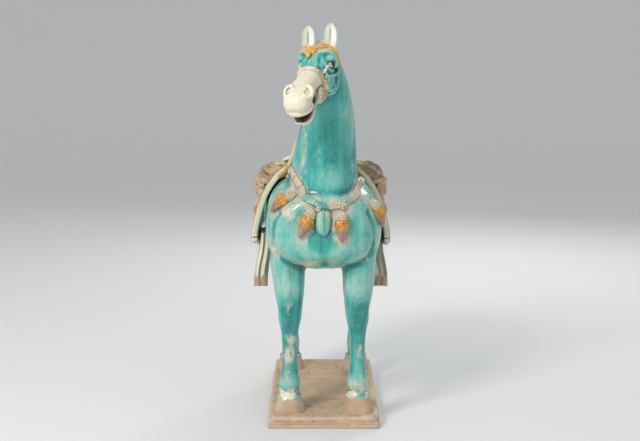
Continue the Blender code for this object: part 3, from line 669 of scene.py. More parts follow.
def thinned(mesh, kept, chosen):
    """The mesh with a number of facets kept in all, taken only from where chosen says so."""
    body = bpy.data.objects.new("thinned", mesh)
    bpy.context.scene.collection.objects.link(body)
    spare = body.vertex_groups.new(name="spare")
    spare.add([vertex.index for vertex in mesh.vertices if chosen(vertex.co)], 1.0, "REPLACE")
    facets = sum(len(polygon.vertices) - 2 for polygon in mesh.polygons)
    thin = body.modifiers.new("thin", "DECIMATE")
    thin.ratio = min(1.0, kept / facets)
    thin.vertex_group = spare.name
    thin.vertex_group_factor = 1.0
    graph = bpy.context.evaluated_depsgraph_get()
    result = bpy.data.meshes.new_from_object(body.evaluated_get(graph))
    bpy.data.objects.remove(body)
    bpy.data.meshes.remove(mesh)
    return result


def body_mesh():
    """The whole bare horse: soft forms, face, hooves and breast pad as one skin of clay."""
    soft = soft_forms()
    carve_soft(soft)
    bm = bmesh.new()
    bm.from_mesh(soft)
    bpy.data.meshes.remove(soft)
    for hand in (-1, 1):
        brow_and_nostril(bm, hand)
        hoof(bm, FORE_HOOF, hand)
        hoof(bm, HIND_HOOF, hand)
    lips(bm)
    blob(bm, (-1, -214, 352), (14, 10, 27))
    mesh = fused(bm, BODY_VOXEL, 4)
    carve_fine(mesh)
    return thinned(mesh, BODY_FACETS, lambda place: not on_head(place))


# Worn patches, and on the body one patch of painted light: middle, radii and strength, first on the head from
# the poll, then on the body in units
HEAD_WEAR = [((0, 6, 0), (44, 34, 24), 1.5), ((2, 8, 18), (16, 12, 14), 1.0),
             ((17, 6, 14), (15, 12, 10), 1.1), ((-24, 2, 8), (14, 18, 16), 0.9)]
BODY_WEAR_AND_LIGHT = [((-66, -170, 412), (26, 34, 22), 0.95), ((-40, -200, 392), (22, 20, 18), 0.7),
             ((-60, -196, 372), (16, 22, 30), 0.55), ((-16, -214, 400), (26, 20, 14), 0.7),
             ((-46, -206, 330), (14, 22, 26), 0.7), ((8, -222, 372), (20, 16, 10), 0.5),
             ((40, -212, 366), (22, 22, 14), 0.6), ((24, -206, 274), (50, 26, 12), 0.75),
             ((-32, -202, 272), (44, 26, 13), 0.8), ((64, -188, 284), (26, 22, 14), 0.7),
             # The second patch on the next line, at (-36, -176, 470), is painted light that pales the lit
             # right side of the neck.
             ((-84, -170, 300), (14, 24, 24), 0.6), ((-36, -176, 470), (9, 22, 90), 0.50),
             ((-58, -174, 134), (13, 20, 13), 0.58), ((-61, -174, 104), (13, 20, 19), 0.66),
             ((-66, -176, 76), (10, 20, 22), 0.5), ((-66, -178, 58), (14, 20, 26), 0.5),
             ((66, -176, 98), (9, 20, 34), 0.5), ((62, -178, 48), (24, 22, 18), 0.7),
             ((-62, -178, 36), (22, 22, 12), 0.7), ((-61, -172, 215), (8, 26, 60), 0.45),
             ((58, -176, 230), (8, 24, 50), 0.35), ((66, 150, 44), (24, 30, 16), 0.7),
             ((-66, 150, 44), (24, 30, 16), 0.7), ((0, 130, 452), (60, 90, 14), 0.35),
             ((100, 60, 330), (20, 50, 20), 0.4), ((-104, 100, 300), (20, 40, 30), 0.4)]

# Drips of olive glaze: their paths and half widths
DRIPS = [([(-84, -170, 356), (-86, -174, 320), (-85, -172, 284)], 2.4),
         ([(98, -146, 332), (98, -150, 300), (96, -150, 270)], 2.2),
         ([(36, -160, 262), (37, -162, 200), (42, -160, 160)], 7.0),
         ([(-60, -184, 264), (-56, -182, 236), (-60, -180, 206)], 3.6)]


def face_paint(skin, places):
    """The cream muzzle, painted shade in the open mouth and the nostril slits, and painted shade round the
    eyes and in a small spot below each.
    """
    side, front, down = in_head(places).T
    back, height = in_units(places)[:, 1:].T
    upper = ramp_up(-back, 150, 170) * ramp_up(height, 470, 500)
    edge = 63 + 8 * ramp_up(-front, 5, 60)
    muzzle = ramp_up(down, edge - 1.5, edge + 1.5) * (1 - ramp_up(-front, 62, 72)) * upper
    # Painted shade: the open mouth here and the nostril slits below are painted near black.
    mouth = ramp_up(-front, 19, 22) * (1 - ramp_up(-front, 39, 42)) * (1 - ramp_up(np.abs(side + 3), 13, 17))
    mouth = mouth * ramp_up(down, 84, 96) * (1 - ramp_up(down, 146, 150)) * upper
    # Painted shade round each eye, cut off towards the back, and in a small spot below each eye.
    painted_eye_shade = np.zeros(len(places))
    for hand in (-1, 1):
        slit = units_from(skin, places, nostril(hand), 4, head_spot)
        mouth = np.maximum(mouth, 0.9 * (1 - ramp_up(slit, 0.4, 1.2)))
        away = np.stack((side, front, down), axis=1) - np.array(EYE) * (hand, 1, 1)
        socket = 1 - ramp_up(np.linalg.norm(away / np.array((11.5, 12.0, 11.5)), axis=1), 0.86, 1.12)
        painted_eye_shade = np.maximum(painted_eye_shade, socket * ramp_up(front, -21, -17))
        painted_eye_shade = np.maximum(painted_eye_shade, 1.6 * near(places, head_units(16 * hand, 1, 56), (4.5, 6, 8)))
    return muzzle, mouth, painted_eye_shade


def paint_body(mesh, skin):
    """Where each glaze lies on the body, how worn it is and where it pools, with painted shade round the eyes
    and in the mouth, and a pale patch of painted light on the lit side of the neck.
    """
    places = positions(mesh)
    back, height = in_units(places)[:, 1:].T
    muzzle, mouth, painted_eye_shade = face_paint(skin, places)
    paint(mesh, "muzzle", muzzle)
    paint(mesh, "mouth", mouth)
    paint(mesh, "painted_eye_shade", np.clip(painted_eye_shade, 0, 1))
    worn = np.zeros(len(places))
    # The body's worn patches include one pale patch of painted light on the lit side of the neck.
    for centre, radii, strength in [(head_units(*centre), *rest) for centre, *rest in HEAD_WEAR] + BODY_WEAR_AND_LIGHT:
        worn = np.maximum(worn, strength * np.sqrt(near(places, centre, radii)))
    gap = units_from(skin, places, COLLAR, 22)
    worn = np.maximum(worn, 0.78 * (1 - ramp_up(gap, 7, 17)) * ramp_up(-back, 90, 130))
    for ends in COLLAR_PENDANTS:
        worn = np.maximum(worn, 0.66 * (1 - ramp_up(units_from(skin, places, ends, 24), 11, 21)))
    ridge = -hollows(mesh, 24)
    worn = np.maximum(worn, 0.42 * ramp_up(ridge, *np.percentile(ridge, (90, 99))) * (1 - muzzle))
    paint(mesh, "worn", worn)
    paint(mesh, "foot", np.clip(height / FOOT_REACH, 0, 1))
    drip = np.zeros(len(places))
    for route, reach in DRIPS:
        drip = np.maximum(drip, 1 - ramp_up(units_from(skin, places, route, reach), reach * 0.4, reach))
    paint(mesh, "drip", drip)
    sunk = 0.55 * hollows(mesh, 12) / 0.0004
    sunk += 0.22 * hollows(mesh, 60) / 0.0016 * ramp_up(height, 225, 270)
    sunk *= 1 - near(places, (-1, -214, 314), (30, 26, 34))
    sunk = np.clip(sunk, -1, 1)
    for hand in (-1, 1):
        knee = near(places, (61 * hand, -176, 172), (24, 30, 36))
        sunk = sunk * (1 - knee) + 0.8 * knee
    paint(mesh, "hollow", sunk)


# Head ornaments

# An ear's breadth along its length, each as a share of the whole
EAR_PROFILE = [(-0.20, 0.60), (0.05, 0.84), (0.30, 1.0), (0.55, 0.93), (0.80, 0.68), (0.93, 0.42),
               (1.0, 0.17)]
EAR_HALF_WIDTH = 12.5
EAR_HOLLOW = 5
EAR_WALL = 5.5


def ear(base, tip):
    """A leaf-shaped ear with a hollow front and a deep crease down its middle, from base to tip in units."""
    base, tip = Vector(base), Vector(tip)
    steps = 20
    rings = []
    for share, breadth in smooth_rows(EAR_PROFILE, 5):
        centre = base.lerp(tip, share)
        half = EAR_HALF_WIDTH * breadth
        scoop = EAR_HOLLOW * breadth
        ring = []
        for step in range(steps + 1):
            across = -1 + 2 * step / steps
            crease = 2.6 * breadth * math.exp(-(across / 0.11) ** 2)
            back = centre.y + scoop * (1 - abs(across) ** 1.6) + crease
            ring.append(spot(centre.x + across * half, back, centre.z))
        for step in range(1, steps):
            across = 1 - 2 * step / steps
            bulge = (scoop + EAR_WALL) * (1 - across ** 2) + 1.5 * breadth
            ring.append(spot(centre.x + across * half, centre.y + bulge, centre.z))
        rings.append(ring)
    mesh = baked(ring_mesh(rings), ("SUBSURF", {"levels": 1, "render_levels": 1}))
    places = in_units(positions(mesh))
    share = (places[:, 2] - base.z) / (tip.z - base.z)
    middle = np.abs(places[:, 0] - (base.x + (tip.x - base.x) * share)) / EAR_HALF_WIDTH
    facing = normals_of(mesh)[:, 1]
    inner = (1 - ramp_up(middle, 0.02, 0.13)) * ramp_up(-facing, -0.6, 0.0)
    paint(mesh, "groove", inner * ramp_up(share, 0.1, 0.3) * (1 - ramp_up(share, 0.62, 0.88)))
    paint(mesh, "worn", np.clip(1.05 - share * 2.6, 0, 1))
    paint(mesh, "edge", ramp_up(middle, 0.45, 0.95))
    return mesh


def eye(hand):
    """An eyeball with its iris, under the lids."""
    bm = bmesh.new()
    centre = Vector((EYE[0] * hand, EYE[1], EYE[2]))
    blob(bm, head_units(*centre), (8.4, 8.8, 7.8), head_axes(), 20, 32)
    mesh = to_mesh(bm)
    look = Vector((0.97 * hand, 0.18, 0.02)).normalized()
    away = in_head(positions(mesh)) - np.array(centre)
    away /= np.linalg.norm(away, axis=1)[:, None]
    paint(mesh, "iris", ramp_up(away @ np.array(look), 0.84, 0.90))
    return mesh


def rosette():
    """A petalled boss on the forehead with a ribbed drop below it."""
    axes = head_axes()
    bm = bmesh.new()

    def boss(centre, radii, rings=10, corners=14):
        blob(bm, head_units(*centre), radii, axes, rings, corners)

    centre = Vector((-10, 9, 20))
    boss(centre, (8.5, 7.5, 8.5), 16, 28)
    petals = 9
    for petal in range(petals):
        angle = math.tau * petal / petals
        out = Vector((math.cos(angle), 0, math.sin(angle)))
        boss(centre + 8.4 * out, (3.6, 4.0, 3.6))
        boss(centre + 4.2 * out + Vector((0, 5, 0)), (1.9, 2.6, 1.9), 8, 10)
    boss((-10, 16, 20), (2.6, 2.4, 2.6))
    boss((-9, 10, 33), (4.2, 4.2, 6.5), 12, 16)
    for rib in (-2.6, 0, 2.6):
        line = [(-9 + rib, 12.5, 28), (-9 + rib * 1.1, 13.6, 33), (-9 + rib * 0.6, 12, 39)]
        head_tube(bm, line, (0.9, 1.2, 0.8), 8, 3)
    return fused(bm, 0.0007, 1)


# Runs of the bridle, from the poll; the straps give their widths first
CHEEK_STRAPS = [(5.6, [(21, -14, 64), (27, -22, 52), (34, -30, 38), (36, -32, 20), (30, -22, 2),
                       (18, -16, -10)]),
                (4.6, [(18, -32, 82), (24, -38, 70), (34, -48, 54)])]
FACE_STRAPS = [(3.2, [(23, -7, 43), (23, -8, 48), (22, -9, 54), (20, -9, 59), (18.5, -8, 62)])]
NOSEBAND = [(0, 8, 64), (15, 4, 64), (21, -12, 63), (20, -30, 66), (12, -50, 72), (0, -60, 74),
            (-12, -50, 72), (-20, -30, 66), (-22, -12, 63), (-16, 4, 64)]
BROWBAND = [(-36, -24, 20), (-30, -6, 12), (-18, 8, 11), (-4, 11, 11), (10, 9, 5), (22, 3, 6), (31, -8, 14),
            (36, -24, 22)]


def ridged_band(skin, points, looped, width, thickness, gold_from):
    """A bridle band with a cord along each edge; it turns gold from a distance to the horse's left."""
    laid = laid_path(skin, points, 10, looped, head_spot)
    bm = bmesh.new()
    strap(bm, laid, width, thickness, looped)
    line = [point for point, _ in laid]
    for edge in (-0.34, 0.34):
        cord = []
        for index, (point, normal) in enumerate(laid):
            across = directions(line, index, looped).cross(normal).normalized()
            cord.append((point + across * (edge * width) + normal * (thickness * 0.75), normal))
        strap(bm, cord, width * 0.30, thickness * 0.55, looped, 10)
    mesh = to_mesh(bm)
    paint(mesh, "gold", ramp_up(in_head(positions(mesh))[:, 0], gold_from, gold_from + 16))
    return mesh


def noseband_studs(skin):
    """Small studs along the noseband's sides."""
    laid = laid_path(skin, NOSEBAND, 6, True, head_spot)
    return bead_mesh([(point + normal * 0.0034, 0.0015) for point, normal in laid[7:-6:4]])


def head_straps(skin, runs):
    """Flat straps of the bridle on both sides of the head; each run is its width and its points."""
    bm = bmesh.new()
    for hand in (-1, 1):
        for width, points in runs:
            laid = eased(laid_path(skin, sided(points, hand), 8, False, head_spot))
            strap(bm, laid, width * UNIT, STRAP_THICKNESS * 0.55)
    return to_mesh(bm)


def bit_rings():
    """A round ring with a stud in its middle at each corner of the mouth."""
    axes = head_axes()
    corners = 24
    bm = bmesh.new()
    for hand in (-1, 1):
        centre = Vector((18.5 * hand - 1, -32, 82))
        line = []
        for corner in range(corners):
            angle = math.tau * corner / corners
            line.append(head_units(*(centre + 7.5 * Vector((0, math.sin(angle), math.cos(angle))))))
        rings = []
        across = axes.col[0]
        for index, point in enumerate(line):
            deep = directions(line, index, True).cross(across)
            rings.append(oval_ring(spot(*point), across, deep, 0.0026, 0.0026, 10, 2))
        close_rings(bm, rings, True)
        blob(bm, head_units(*centre), (3.4, 4, 4), axes, 10, 14)
    return to_mesh(bm)


def mane():
    """A cropped mane that stands along the crest, combed into locks."""
    crest = smooth_rows([(-6, -150, 649), (-4, -132, 649), (2, -110, 622), (7, -97, 582), (8, -86, 542),
                         (6, -73, 502), (3, -60, 462), (1, -48, 440)], 7)
    bm = bmesh.new()
    limb(bm, [(x, y, z, 6, 13) for x, y, z in crest], steps=1, corners=16)
    for index in range(1, len(crest)):
        x, y, z = crest[index]
        back = Vector(crest[index]) - Vector(crest[index - 1])
        lift = Vector((0, -back.z, back.y)).normalized()
        if lift.y < 0:
            lift.negate()
        share = index / len(crest)
        tall = 14 - 5 * share + 1.5 * math.sin(index * 2.3)
        lean = 1.8 if index % 2 else -1.8
        root = Vector((x, y, z)) - lift * 10
        top = Vector((x + lean, y, z)) + lift * tall
        tube(bm, [tuple(root), tuple(root.lerp(top, 0.55)), tuple(top)], (6.4, 5.6, 3), 12, 4)
    mesh = fused(bm, TRIM_VOXEL, 2)
    clay = Carving(mesh)
    for index in range(2, len(crest) - 1):
        x, y, z = crest[index]
        back = (Vector(crest[index + 1]) - Vector(crest[index - 1])).normalized()
        lift = Vector((0, abs(back.z), back.y if back.z < 0 else -back.y))
        for hand in (-1, 1):
            start = Vector((x + 8 * hand, y, z)) - lift * 9
            end = Vector((x + 6 * hand, y, z)) + lift * 12
            clay.furrow([tuple(start), tuple(start.lerp(end, 0.5)), tuple(end)], 1.8, 0.9)
    clay.done()
    paint_hollows(mesh, 14, 0.0006)
    return mesh


def tail():
    """A docked tail, bound round in a cord and curled down against the buttocks."""
    bones = smooth_rows([(0, 196, 408, 17, 15), (1, 220, 416, 15, 14), (3, 234, 402, 13, 13),
                         (5, 236, 380, 12, 12), (5, 229, 358, 11, 11), (3, 222, 336, 9, 9),
                         (1, 220, 322, 5, 5)], 16)
    bound = []
    for index, (x, y, z, wide, deep) in enumerate(bones):
        swell = 1 + 0.10 * math.sin(index * math.tau / 12)
        bound.append((x, y, z, wide * swell, deep * swell))
    bm = bmesh.new()
    limb(bm, bound, steps=1, corners=28)
    mesh = to_mesh(bm)
    paint_hollows(mesh, 8, 0.0006)
    return mesh


# Saddle and cloths

BLANKET_HALF = [(0, 441), (34, 438), (66, 424), (90, 400), (105, 370), (113, 338), (117, 308), (115, 288)]
SADDLE_RIM_HALF = [(0, 503), (24, 499), (42, 481), (51, 456), (59, 435), (67, 424), (79, 414)]
BLANKET_FRONT, BLANKET_BACK = -50, 80
SEAT_SHIFT = -5


def mirrored(half):
    return [(-x, z) for x, z in reversed(half[1:])] + half


def shell(bm, sections, thickness):
    """A closed sheet of even thickness from rows of points in units, laid side by side."""
    rings = []
    for row in sections:
        outer = [Vector(point) for point in row]
        inner = []
        for index, point in enumerate(outer):
            along = directions(outer, index)
            off = Vector((-along.z, 0, along.x)).normalized()
            inner.append(point - off * (thickness / UNIT))
        rings.append([spot(*point) for point in outer + inner[::-1]])
    close_rings(bm, rings)


def hem(bm, row, size=1.0, corners=14):
    """A rolled hem along a row of points in units; size is its share of the hem's full radius."""
    points = row[::4]
    tube(bm, points, [HEM_RADIUS / UNIT * size] * len(points), corners, 4)


def blanket():
    """The saddle blanket over the back, hanging clear of the flanks, with a rolled hem."""
    outline = smooth_rows(mirrored(BLANKET_HALF), 7)
    sections = []
    stops = 56
    for stop in range(stops + 1):
        share = stop / stops
        y = BLANKET_FRONT + (BLANKET_BACK - BLANKET_FRONT) * share
        edge = abs(2 * share - 1) ** 4
        row = []
        for x, z in outline:
            hang = max(0.0, (400 - z) / 110)
            ripple = 1.6 * hang * math.sin(share * 5 * math.pi + 0.6 * math.sin(z * 0.05))
            ripple += 0.6 * hang * math.sin(share * 13 * math.pi + z * 0.03)
            out = math.copysign(edge * 6 * hang + ripple, x) if x else 0
            row.append((x + out + SEAT_SHIFT, y, z + 2))
        sections.append(row[::-1])
    bm = bmesh.new()
    shell(bm, sections, CLOTH_THICKNESS)
    for row, facing in ((sections[0], -1), (sections[-1], 1)):
        hem(bm, row)
        for lift, ahead, size in ((2.6, 3.6, 0.34), (4.4, 0.2, 0.28)):
            piping = []
            for x, y, z in row:
                out = Vector((x - SEAT_SHIFT, 0, (z - 300) * 0.8)).normalized() * lift
                piping.append((x + out.x, y + ahead * facing, z + out.z))
            hem(bm, piping, size, 8)
    for side in (0, -1):
        hem(bm, [row[side] for row in sections])
    mesh = to_mesh(bm)
    x, y, z = in_units(positions(mesh)).T
    paint(mesh, "rim", np.minimum(np.minimum(y - BLANKET_FRONT, BLANKET_BACK - y), (z - 290) * 1.05))
    return mesh


def saddle():
    """The saddle under its cloth: high arched pommel in front, dipped seat, and lower cantle behind."""
    pommel = smooth_rows(mirrored(SADDLE_RIM_HALF), 8)
    stations = smooth_rows([(-58, 0, 1.0), (-50, 3, 0.985), (-40, 20, 0.95), (-24, 42, 0.92), (-4, 52, 0.92),
                            (16, 53, 0.93), (36, 46, 0.95), (50, 32, 0.97), (60, 18, 1.0), (72, 16, 1.01)], 6)
    sections = []
    for y, drop, spread in stations:
        row = []
        for x, z in pommel:
            high = max(0.0, min(1.0, (z - 400) / 100))
            fold = 1 + 0.012 * math.sin(y * 0.35 + z * 0.06) * (1 - high)
            row.append((x * spread * fold + SEAT_SHIFT, y, z - drop * high ** 0.8))
        sections.append(row)
    bm = bmesh.new()
    close_rings(bm, [[spot(*point) for point in row] for row in sections])
    hem(bm, sections[0])
    hem(bm, sections[-1])
    mesh = to_mesh(bm)
    x, y, z = in_units(positions(mesh)).T
    paint(mesh, "rim", np.minimum(y + 60, 74 - y))
    paint(mesh, "low", 1 - ramp_up(z, 412, 458))
    return mesh


def rumple(mesh, wave, depth):
    """Presses creases into a cloth: a ridged noise of a wavelength, to a depth, both in metres."""
    places = positions(mesh).astype(np.float64)
    ridges = np.array([1 - 2 * abs(noise.noise(Vector(place) / wave)) for place in places])
    finer = np.array([1 - 2 * abs(noise.noise(Vector(place) / (wave * 0.45))) for place in places])
    places += normals_of(mesh) * ((ridges + 0.5 * finer) * depth - depth * 0.9)[:, None]
    set_positions(mesh, places)


def gathers(hand):
    """The saddle cloth drawn together in pleats from the saddle's side down to its knot."""
    folds, steps, pleats = 120, 44, 7
    rings = []
    for step in range(steps):
        share = step / (steps - 1)
        row = []
        for fold in range(folds + 1):
            across = fold / folds
            start = Vector((60 + 10 * math.sin(across * math.pi), -44 + 102 * across, 438))
            end = Vector((112, 24 + (across - 0.5) * 22, 402))
            point = start.lerp(end, share)
            turn = across * pleats * math.pi + 0.8 * math.sin(share * 3 + across * 5)
            wave = (1 - abs(math.sin(turn)) ** 0.6 - 0.4) * (2.0 + 7.5 * math.sin(share * 2.4))
            point.x += 12 * math.sin(share * 2.6) + wave
            point.z += 8 * math.sin(share * math.pi) + wave * 0.6
            row.append(point)
        below = [point - Vector((12, 0, 9)) for point in row]
        rings.append([spot(p.x * hand + SEAT_SHIFT, p.y, p.z) for p in row + below[::-1]])
    mesh = ring_mesh(rings)
    rumple(mesh, 0.016, 0.0022)
    paint_hollows(mesh, 16, 0.0007)
    order = np.arange(len(mesh.vertices))
    share = (order // (2 * folds + 2)) / (steps - 1)
    column = order % (2 * folds + 2)
    across = np.where(column > folds, 2 * folds + 1 - column, column) / folds
    paint(mesh, "strip", ramp_up(share, 0.02, 0.06) * (1 - ramp_up(share, 0.26, 0.30)))
    paint(mesh, "square", np.mod(np.floor(across * 10), 5) / 4)
    return mesh


def knot(hand):
    """The knot in the saddle cloth at one side, with its loops and its end hanging down."""
    bm = bmesh.new()
    for centre, radii in (((114, 24, 398), (10, 15, 12)), ((112, 30, 383), (12, 17, 18)),
                          ((113, 17, 379), (9, 10, 16))):
        blob(bm, sided([centre], hand, SEAT_SHIFT)[0], radii)
    loops = [([(100, 8, 398), (119, 15, 404), (121, 33, 400), (100, 42, 392)], (5, 5.5, 5.5, 5)),
             ([(108, 10, 392), (122, 16, 386), (123, 28, 376), (112, 40, 370)], (3.5, 4.2, 4.2, 3.5)),
             ([(110, 36, 402), (121, 34, 394), (122, 22, 386), (112, 12, 376)], (3, 4, 4, 3))]
    for fold in (-6, 0, 6):
        loops.append(([(112, 26 + fold * 0.4, 382), (118, 32 + fold, 358), (115, 40 + fold * 1.3, 338)],
                      (6, 4.6, 2.6)))
    for points, radii in loops:
        tube(bm, sided(points, hand, SEAT_SHIFT), radii)
    mesh = fused(bm, 0.0013, 2)
    rumple(mesh, 0.014, 0.0014)
    paint_hollows(mesh, 14, 0.0006)
    return mesh


def flap_point(x, y, level, spread):
    """A point of a flap's outer side in units: folded, swaying, curled in front and notched at its foot."""
    foot = ramp_up(232 - level, 0, 24)
    notch = 13 * ramp_up(y, -38, -32) * (1 - ramp_up(y, 20, 34))
    low = 4 * math.sin((y + 53) / 111 * math.pi) + 2.2 * math.sin(y * 0.13) + 0.6 * math.sin(y * 0.5) - notch
    hang = (308 - level) / 100
    fold = 2.2 * hang * math.sin(y * 0.17 + 1.0) + 1.1 * hang * math.sin(y * 0.41 + level * 0.03)
    curl = max(0.0, (-40 - y) / 12) * math.sin(level * 0.06 + 0.8)
    sway = 1.6 * math.sin(level * 0.045 + y * 0.06)
    return x * spread + fold + 3.0 * curl + sway, y + 2.0 * curl, level - foot * low


def flap(hand):
    """The hanging flap below the blanket, its front edge curled in and its foot broken to bare clay."""
    plan = smooth_rows([(96, -38), (100, -48), (106, -52), (111, -48), (116, -51), (121, -42), (119, -30),
                        (123, -14), (120, 4), (122, 20), (116, 38), (114, 58)], 8)
    levels = smooth_rows([(308, 0.94), (280, 0.975), (250, 1.0), (225, 1.015), (208, 1.02)], 10)
    rings = []
    for level, spread in levels:
        points = [flap_point(x, y, level, spread) for x, y in plan]
        row = [Vector(point) for point in sided(points, hand, SEAT_SHIFT)]
        inner = []
        for index, point in enumerate(row):
            along = row[min(index + 1, len(row) - 1)] - row[max(index - 1, 0)]
            off = Vector((along.y, -along.x, 0)).normalized() * hand
            inner.append(point - off * (CLOTH_THICKNESS / UNIT))
        rings.append([spot(*point) for point in row + inner[::-1]])
    mesh = ring_mesh(rings)
    x, y, z = in_units(positions(mesh)).T
    paint(mesh, "rim", np.minimum(y + 55, 60 - y))
    paint(mesh, "foot", 1 - ramp_up(z + 5.0 * np.sin(y * 0.23) + 2.0 * np.sin(y * 0.9), 224, 238))
    paint_hollows(mesh, 14, 0.0008)
    paint(mesh, "inside", ramp_up(-normals_of(mesh)[:, 0] * hand, 0.2, 0.6))
    return mesh


# Harness

# Points of the collar and of the crupper on the horse's left, and the glazes of their plaques in turn
COLLAR = [(-66, -50, 420), (-62, -84, 420), (-58, -116, 430), (-56, -146, 434), (-49, -178, 418),
          (-33, -206, 396), (-10, -220, 384), (24, -220, 382), (50, -202, 394), (66, -168, 408),
          (69, -124, 414), (70, -86, 412), (72, -50, 414)]
CRUPPER_BACK = [(0, 70, 446), (0, 120, 452), (0, 165, 450), (0, 200, 420)]
CRUPPER_SIDE = [(112, 74, 372), (122, 110, 362), (118, 150, 356), (92, 190, 352), (50, 214, 360),
                (16, 216, 380)]
CRUPPER_CROSS = [(0, 128, 452), (44, 132, 440), (84, 134, 410), (112, 134, 372)]
COLLAR_TINTS = (0.1, 0.2, 0.05, 0.15, 0.0, 0.12, 0.42, 0.62, 0.80, 0.35, 0.55, 0.3, 0.2, 0.45)
CRUPPER_TINTS = (0.1, 0.45, 0.75, 0.2, 1.0)
PLATE_CORNERS = 24

# Top and tip of each pendant, in units
COLLAR_PENDANTS = (((-51, -190, 401), (-82, -170, 360)), ((-19, -218, 374), (-43, -214, 322)),
                   ((31, -220, 370), (32, -214, 316)), ((80, -168, 380), (97, -148, 334)))
CRUPPER_PENDANTS = (((122, 112, 356), (124, 116, 300)), ((112, 158, 352), (110, 160, 296)),
                    ((76, 200, 350), (74, 196, 296)))

# Shares of a pendant's length, each with its share of the half width: beaded cap, body, pointed end
PENDANT_PROFILE = [(0.0, 0.26), (0.06, 0.50), (0.14, 0.68), (0.21, 0.76), (0.26, 0.84), (0.33, 0.94),
                   (0.42, 1.02), (0.52, 0.98), (0.60, 0.86), (0.68, 0.74), (0.78, 0.58), (0.90, 0.38),
                   (1.0, 0.14)]
CAP_END, BODY_END = 0.24, 0.60

# A pendant's rings of beads: share of its length, share of its half width, bead radius in metres, and count
PENDANT_BEADS = [(0.03, 0.34, 0.0019, 6), (0.10, 0.58, 0.0021, 10), (0.17, 0.70, 0.0021, 12),
                 (0.24, 0.80, 0.0018, 16), (0.60, 0.84, 0.0010, 24)]


def plate(bm, laid, start):
    """One flat plaque of a plated strap, lifted at its far end; returns its number of rings."""
    steps = 10
    rings = []
    for step in range(steps + 1):
        share = step / steps
        point, normal, ahead = place_along(laid, start + PLAQUE_LENGTH * share)
        across = ahead.cross(normal).normalized()
        round_off = (1 - abs(2 * share - 1) ** 6) ** 0.5 * 0.22 + 0.78 if 0 < step < steps else 0.80
        centre = point + normal * (STRAP_THICKNESS * (0.22 + 0.26 * share))
        rings.append(oval_ring(centre, across, normal, STRAP_WIDTH / 2 * round_off, STRAP_THICKNESS * 0.46,
                               PLATE_CORNERS, 4.5))
    close_rings(bm, rings)
    return len(rings)


def tinted(mesh, tint, edge=0.0):
    """The mesh painted with one plaque's glaze and how near each point is to a long edge."""
    paint(mesh, "tint", np.full(len(mesh.vertices), tint))
    paint(mesh, "edge", np.broadcast_to(edge, len(mesh.vertices)))
    return mesh


def plated_strap(skin, run, name, material, tints):
    """A strap set with plaques along its whole run; tints gives the plaques' glazes in turn."""
    laid = eased(laid_path(skin, run, 10))
    bm = bmesh.new()
    strap(bm, laid, STRAP_WIDTH * 0.8, STRAP_THICKNESS * 0.5)
    parts = [tinted(to_mesh(bm), 0.0)]
    pitch = PLAQUE_LENGTH + PLAQUE_GAP
    edges = np.abs(np.cos(np.arange(PLATE_CORNERS) / PLATE_CORNERS * math.tau))
    for index in range(int(run_length(laid) / pitch)):
        bm = bmesh.new()
        start = pitch * index + PLAQUE_GAP / 2
        rings = plate(bm, laid, start)
        parts.append(tinted(to_mesh(bm), tints[index % len(tints)], np.tile(edges, rings)))
    return add_piece(name, joined(parts), material, 40)


def joined(meshes):
    """Several meshes as one, with their painted numbers kept."""
    bm = bmesh.new()
    for layer in meshes[0].attributes:
        if layer.domain == "POINT" and layer.data_type == "FLOAT":
            bm.verts.layers.float.new(layer.name)
    for mesh in meshes:
        bm.from_mesh(mesh)
        bpy.data.meshes.remove(mesh)
    return to_mesh(bm)


def pendant(skin, top, tip):
    """An acorn-shaped pendant on the skin, from a top to a tip in units."""
    top_point, top_normal = skin.nearest(spot(*top))
    tip_point, tip_normal = skin.nearest(spot(*tip))
    run = (tip_point - top_point).normalized()
    half = PENDANT_WIDTH / 2
    fine = smooth_rows(PENDANT_PROFILE, 8)

    def ring_at(share, radius, count):
        """The pendant's middle at a share of its length, and a ring round it given from there."""
        point, _ = skin.nearest(top_point + run * (share * PENDANT_LENGTH))
        normal = top_normal.lerp(tip_normal, share).normalized()
        across = run.cross(normal).normalized()
        ring = oval_ring(Vector(), across, across.cross(run), radius, radius * 0.9, count, 2)
        return point + normal * (half * 0.45), ring

    def relief(share, angle):
        """How far the surface swells: a net on the body and ribs on the pointed end."""
        if share >= BODY_END:
            return 0.06 * math.cos(angle * 8)
        if share > CAP_END:
            return 0.045 * math.cos(angle * 16) + 0.025 * math.cos(share * 85)
        return 0.0

    corners, rows = 72, 60
    rings = []
    for row in range(rows + 1):
        share = row / rows
        after = next(i for i, point in enumerate(fine) if point[0] >= share - 1e-9)
        before = max(after - 1, 0)
        gap = fine[after][0] - fine[before][0]
        mix = (share - fine[before][0]) / gap if gap else 0
        radius = half * (fine[before][1] + (fine[after][1] - fine[before][1]) * mix)
        centre, ring = ring_at(share, radius, corners)
        rings.append([centre + out * (1 + relief(share, math.tau * corner / corners))
                      for corner, out in enumerate(ring)])
    parts = [ring_mesh(rings)]
    paint(parts[0], "share", np.repeat(np.arange(rows + 1) / rows, corners))
    for share, out, size, count in PENDANT_BEADS:
        centre, ring = ring_at(share, half * out, count)
        mesh = bead_mesh([(centre + place, size) for place in ring])
        paint(mesh, "share", np.full(len(mesh.vertices), share))
        parts.append(mesh)
    return joined(parts)


